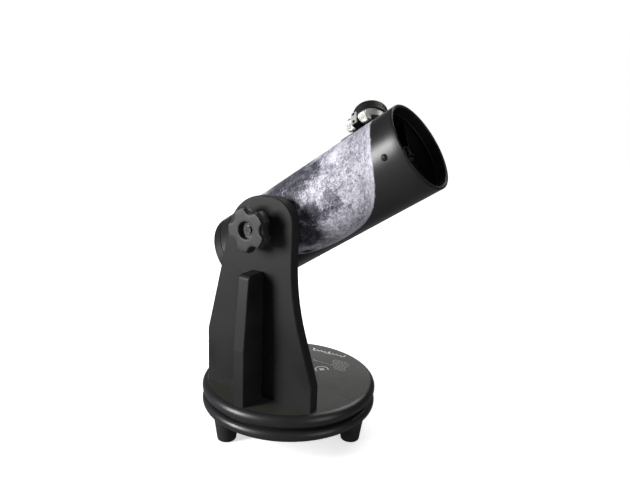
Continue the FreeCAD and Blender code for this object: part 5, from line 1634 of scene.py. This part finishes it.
@dataclass
class Focuser:
    """The saddle and tower, the drawtube, and the rack and pinion that move it."""

    shop: Workshop
    knob_radius: float = 5.8
    knob_length: float = 10.0
    knob_start: float = 3.55
    knob_ridges: int = 36
    saddle_screw_x: float = 17.5
    saddle_screw_angle: float = 29.0
    saddle_thickness: float = 3.0
    tube_radius: float = 45.7
    screw_radius: float = 2.7
    screw_height: float = 1.7

    def build(self) -> None:
        """Makes the knurled knobs and dresses the focuser's nodes."""
        model, paint = self.shop.model, self.shop.paint
        for node in ("focuser_housing", "focuser_nuts", "pinion_cover_screws"):
            self.shop.dress(node)
        along = model.focuser
        self.shop.dress("drawtube", paint.get("drawtube_metal", along, "drawtube"))
        self.shop.dress("pinion_cover", paint.get("cover_metal", along, "cover"))
        pinion = np.array(model.joints["pinion_turn"]["pos_m"]) / MM
        shaft = Axes(pinion, along.y, along.z, along.x)
        for node in ("pinion_shaft", "focus_rack"):
            self.shop.dress(node, paint.get("brass", shaft, "pinion"))
        metal = paint.get("bright_metal", shaft, "pinion")
        self.knob("focus_knob_front", 1.0, shaft, metal)
        self.knob("focus_knob_rear", -1.0, shaft, metal)
        self.shop.dress("eyepiece_thumbscrew", metal)
        self.screws()

    def knob(self, node: str, side: float, shaft: Axes, metal: bpy.types.Material) -> None:
        """Makes one focus knob: a knurled barrel between plain chamfered ends, with a turned dimple outside.

        Args:
            node: the CAD node that it stands for.
            side: 1 towards the tube's mouth, -1 towards its rear.
            shaft: the frame whose Z is the shaft.
            metal: the knob's material.
        """
        end = self.knob_length
        span = np.linspace(1.6, end - 1.8, 9)
        knurled = np.stack([np.full_like(span, self.knob_radius), span], axis=1)
        profile = np.vstack([
            np.array([[0.0, 0.0], [self.knob_radius - 0.9, 0.0], [self.knob_radius - 0.35, 0.25],
                      [self.knob_radius - 0.25, 0.6], [self.knob_radius - 0.25, 1.2]]),
            knurled,
            np.array([[self.knob_radius - 0.25, end - 1.4], [self.knob_radius - 0.25, end - 0.8],
                      [self.knob_radius - 0.5, end - 0.3], [self.knob_radius - 1.1, end],
                      [self.knob_radius - 2.2, end], [self.knob_radius - 2.6, end - 0.3], [0.0, end - 0.4]]),
        ])
        ridges = knurl_swell(self.knob_ridges, 0.42, 1.4)

        def knurl(angle: Array, height: Array) -> Array:
            """Cuts the grooves between the two plain ends."""
            return ridges(angle, height) * ((height > 1.5) & (height < end - 1.7))

        axes = Axes(shaft.place(np.array([0.0, 0.0, side * self.knob_start])), shaft.x, shaft.y * side,
                    shaft.z * side)
        mesh = lathe(profile, self.knob_ridges * 10, False, knurl).placed(axes)
        self.shop.piece(node + "_knurled", mesh, "pinion", "bright_metal", metal, (node,), sharp=30.0)

    def screws(self) -> None:
        """Makes the four saddle screws: cross-recessed heads that stand on the saddle, with plain shanks."""
        mesh = Mesh()
        tube = self.shop.model.tube
        focus = self.shop.model.focuser
        middle = math.degrees(math.atan2(float(np.dot(focus.z, tube.y)), float(np.dot(focus.z, tube.z))))
        station = float(np.dot(focus.origin - tube.origin, tube.x))
        reach = self.tube_radius + self.saddle_thickness
        for lean in (-self.saddle_screw_angle, self.saddle_screw_angle):
            for shift in (-self.saddle_screw_x, self.saddle_screw_x):
                turn = math.radians(middle + lean)
                out = tube.y * math.sin(turn) + tube.z * math.cos(turn)
                seat = tube.place(np.array([station + shift, 0.0, 0.0])) + out * reach
                axes = Axes(seat, tube.x, np.cross(out, tube.x), out)
                mesh.add(screw_head(self.screw_radius, self.screw_height).placed(axes))
                shank = np.array([[0.0, -7.0], [1.2, -7.0], [1.5, -6.6], [1.5, -0.01], [0.0, -0.01]])
                mesh.add(lathe(shank, 36, False).placed(axes))
        self.shop.piece("saddle_screws", mesh, "optical_tube", "black_steel",
                        self.shop.paint.get("black_steel"), ("focuser_screws",))


@dataclass
class Eyepiece:
    """The eyepiece: a chromed barrel under a black body with a coated lens."""

    shop: Workshop
    dome_inset: float = 5.0
    dome_height: float = 3.0
    lens_radius: float = 6.0
    lens_depth: float = 1.2
    groove: float = 0.45
    grooves: int = 3

    def build(self) -> None:
        """Makes the grooved body and the domed eye lens, and dresses the barrel and the field lens."""
        model, paint = self.shop.model, self.shop.paint
        along = model.focuser
        self.shop.dress("eyepiece_barrel", paint.get("bright_metal", along, "barrel"))
        self.shop.dress("field_lens")
        mount = model.mounts["eyepiece_outside"]
        radius = float(mount["dims"]["r_mm"])
        half = float(mount["dims"]["length_mm"]) / 2.0
        low = model.eyepiece_height - half
        edge = model.eyepiece_height + half
        top = edge + self.dome_height
        corners = [(self.lens_radius - self.lens_depth, low, 0.0), (radius, low, 0.35)]
        for number in range(self.grooves):
            level = low + (edge - low) * (0.30 + 0.22 * number)
            corners += [(radius, level - 0.45, 0.1), (radius - self.groove, level - 0.2, 0.1),
                        (radius - self.groove, level + 0.2, 0.1), (radius, level + 0.45, 0.1)]
        corners += [
            (radius, edge, 1.2),
            (radius - self.dome_inset, top, 1.6),
            (self.lens_radius + 1.6, top, 0.3),
            (self.lens_radius + 0.1, top - self.lens_depth, 0.2),
            (self.lens_radius + 0.1, top - 4.2, 0.1),
            (self.lens_radius - self.lens_depth, top - 4.2, 0.1),
        ]
        mesh = lathe(rounded(corners, 4), 192, True).placed(along)
        self.shop.piece("eyepiece_housing", mesh, "eyepiece", "black_plastic", paint.get("black_plastic"),
                        ("eyepiece_body",))
        self.lens(top - self.lens_depth, along)

    def lens(self, top: float, along: Axes) -> None:
        """Makes the eye lens: a disc whose upper face is a shallow cap, the square of the radius.

        Args:
            top: the height of the face's middle.
            along: the focuser's frame.
        """
        share = np.linspace(1.0, 0.0, 18)
        bulge = 0.7 * (1.0 - share**2)
        face = np.stack([self.lens_radius * share, top - 0.7 + bulge], axis=1)
        profile = np.vstack([[[0.0, top - 3.0], [self.lens_radius, top - 3.0]], face])
        mesh = lathe(profile, 96, False).placed(along)
        self.shop.piece("eye_lens_glass", mesh, "eyepiece", "lens_glass", self.shop.paint.get("lens_glass"),
                        ("eye_lens",))


# ---------------------------------------------------------------------------------------------- studio
@dataclass(frozen=True)
class Softbox:
    """An area light: where it stands, what it looks at, its size in metres, its power and its colour."""

    name: str
    place: tuple[float, float, float]
    target: tuple[float, float, float]
    size: tuple[float, float]
    watts: float
    colour: Colour = (1.0, 1.0, 1.0)


@dataclass
class Studio:
    """A pale floor, a white surround, softboxes and the camera."""

    camera_place: tuple[float, float, float] = (347.4, -530.2, 367.2)
    azimuth: float = 31.47
    elevation: float = 12.89
    roll: float = 2.02
    lens: float = 33.45
    shift: tuple[float, float] = (0.0069, -0.0181)
    surround: float = 0.06
    floor_glow: float = 0.62
    floor_bounce: float = 0.30
    glow_start: float = 0.16
    glow_end: float = 0.42
    lights: tuple[Softbox, ...] = (
        Softbox("key_left", (-0.60, -0.92, 0.46), (0.0, -0.03, 0.24), (0.34, 0.58), 20.0),
        Softbox("back_top", (0.10, 0.95, 1.20), (0.03, 0.0, 0.2), (1.0, 0.5), 8.0),
        Softbox("back_card", (-0.80, 1.30, 0.50), (0.0, 0.0, 0.08), (1.4, 0.5), 2.6),
        Softbox("right_fill", (1.15, -0.30, 0.45), (0.05, 0.0, 0.2), (0.4, 0.8), 3.4),
    )

    def build(self) -> None:
        """Makes the floor, the surround, the lights and the camera."""
        self.floor()
        self.surroundings()
        for light in self.lights:
            self.softbox(light)
        self.camera()

    def floor(self) -> None:
        """A large pale floor with a faint mottle, a little lit from below as a light table is."""
        half = 4.0
        data = bpy.data.meshes.new("studio_floor")
        data.from_pydata([(-half, -half, 0.0), (half, -half, 0.0), (half, half, 0.0), (-half, half, 0.0)], [],
                         [(0, 1, 2, 3)])
        floor = bpy.data.objects.new("studio_floor", data)
        bpy.context.scene.collection.objects.link(floor)
        material = bpy.data.materials.new("studio_floor")
        material.use_nodes = True
        material.node_tree.nodes.clear()
        tree = Tree(material.node_tree)
        shader = tree.add("BsdfPrincipled", {"Roughness": 0.75, "Specular IOR Level": 0.1,
                                             "Emission Strength": 1.0})
        place = tree.objects()
        seen = tree.add("LightPath").outputs["Is Camera Ray"]
        distance = tree.vector("LENGTH", place).outputs["Value"]
        glow = tree.span(distance, self.glow_start, self.glow_end, self.floor_glow, 1.0)
        mottle = tree.span(tree.noise(place, 3.0, 4.0, 0.5), 0.3, 0.7, 0.88, 0.92)
        bounce = tree.math("MULTIPLY", mottle, self.floor_bounce)
        white = tree.math("MULTIPLY_ADD", seen, tree.math("SUBTRACT", mottle, bounce), bounce)
        tree.feed(shader.inputs["Base Color"], tree.add("CombineColor", {0: white, 1: white, 2: white}).outputs[0])
        lit = tree.math("MULTIPLY", seen, glow)
        tree.feed(shader.inputs["Emission Color"], tree.add("CombineColor", {0: lit, 1: lit, 2: lit}).outputs[0])
        tree.feed(tree.add("OutputMaterial").inputs["Surface"], shader.outputs[0])
        data.materials.append(material)
        floor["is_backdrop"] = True

    def surroundings(self) -> None:
        """A white backdrop for the eye, and a dimmer surround that lights the object and is brighter above."""
        world = bpy.data.worlds.new("studio")
        world.use_nodes = True
        world.node_tree.nodes.clear()
        tree = Tree(world.node_tree)
        up = tree.add("SeparateXYZ", {0: tree.add("TexCoord").outputs["Generated"]}).outputs[2]
        level = tree.span(up, -0.1, 1.0, 0.55 * self.surround, 1.8 * self.surround)
        seen = tree.add("LightPath").outputs["Is Camera Ray"]
        strength = tree.math("MULTIPLY_ADD", seen, tree.math("SUBTRACT", 1.0, level), level)
        back = tree.add("Background", {"Color": (1.0, 1.0, 1.0), "Strength": strength})
        tree.feed(tree.add("OutputWorld").inputs["Surface"], back.outputs[0])
        bpy.context.scene.world = world

    def softbox(self, light: Softbox) -> None:
        """Places one area light and turns it to its target.

        Args:
            light: the light to place.
        """
        data = bpy.data.lights.new(light.name, "AREA")
        data.shape = "RECTANGLE"
        data.size, data.size_y = light.size
        data.energy = light.watts
        data.color = light.colour
        lamp = bpy.data.objects.new(light.name, data)
        bpy.context.scene.collection.objects.link(lamp)
        back = unit(np.subtract(light.place, light.target))
        side = unit(np.cross([0.0, 0.0, 1.0], back))
        turn = np.stack([side, np.cross(back, side), back], axis=1)
        lamp.matrix_world = Matrix.Translation(light.place) @ Matrix(turn.tolist()).to_4x4()

    def camera(self) -> None:
        """Makes the camera: turned by azimuth, raised by elevation and rolled about its own axis."""
        data = bpy.data.cameras.new("camera")
        data.lens = self.lens
        data.shift_x, data.shift_y = self.shift
        data.clip_start = 0.01
        camera = bpy.data.objects.new("camera", data)
        bpy.context.scene.collection.objects.link(camera)
        turn = (
            Matrix.Rotation(math.radians(self.azimuth), 4, "Z")
            @ Matrix.Rotation(math.radians(90.0 - self.elevation), 4, "X")
            @ Matrix.Rotation(math.radians(self.roll), 4, "Z")
        )
        camera.matrix_world = Matrix.Translation([value * MM for value in self.camera_place]) @ turn
        bpy.context.scene.camera = camera


def main() -> None:
    """Loads the frame and makes the whole object in it."""
    logging.basicConfig(level=logging.INFO, format="%(name)s: %(message)s")
    model = Model()
    shop = Workshop(model, Paintshop(Effects()))
    Studio().build()
    for assembly in (TurntableBase(shop), Arm(shop), AltitudePivot(shop), OpticalTube(shop), Focuser(shop),
                     Eyepiece(shop)):
        assembly.build()
    bpy.context.scene.view_settings.view_transform = "Standard"


if __name__ == "__main__":
    main()
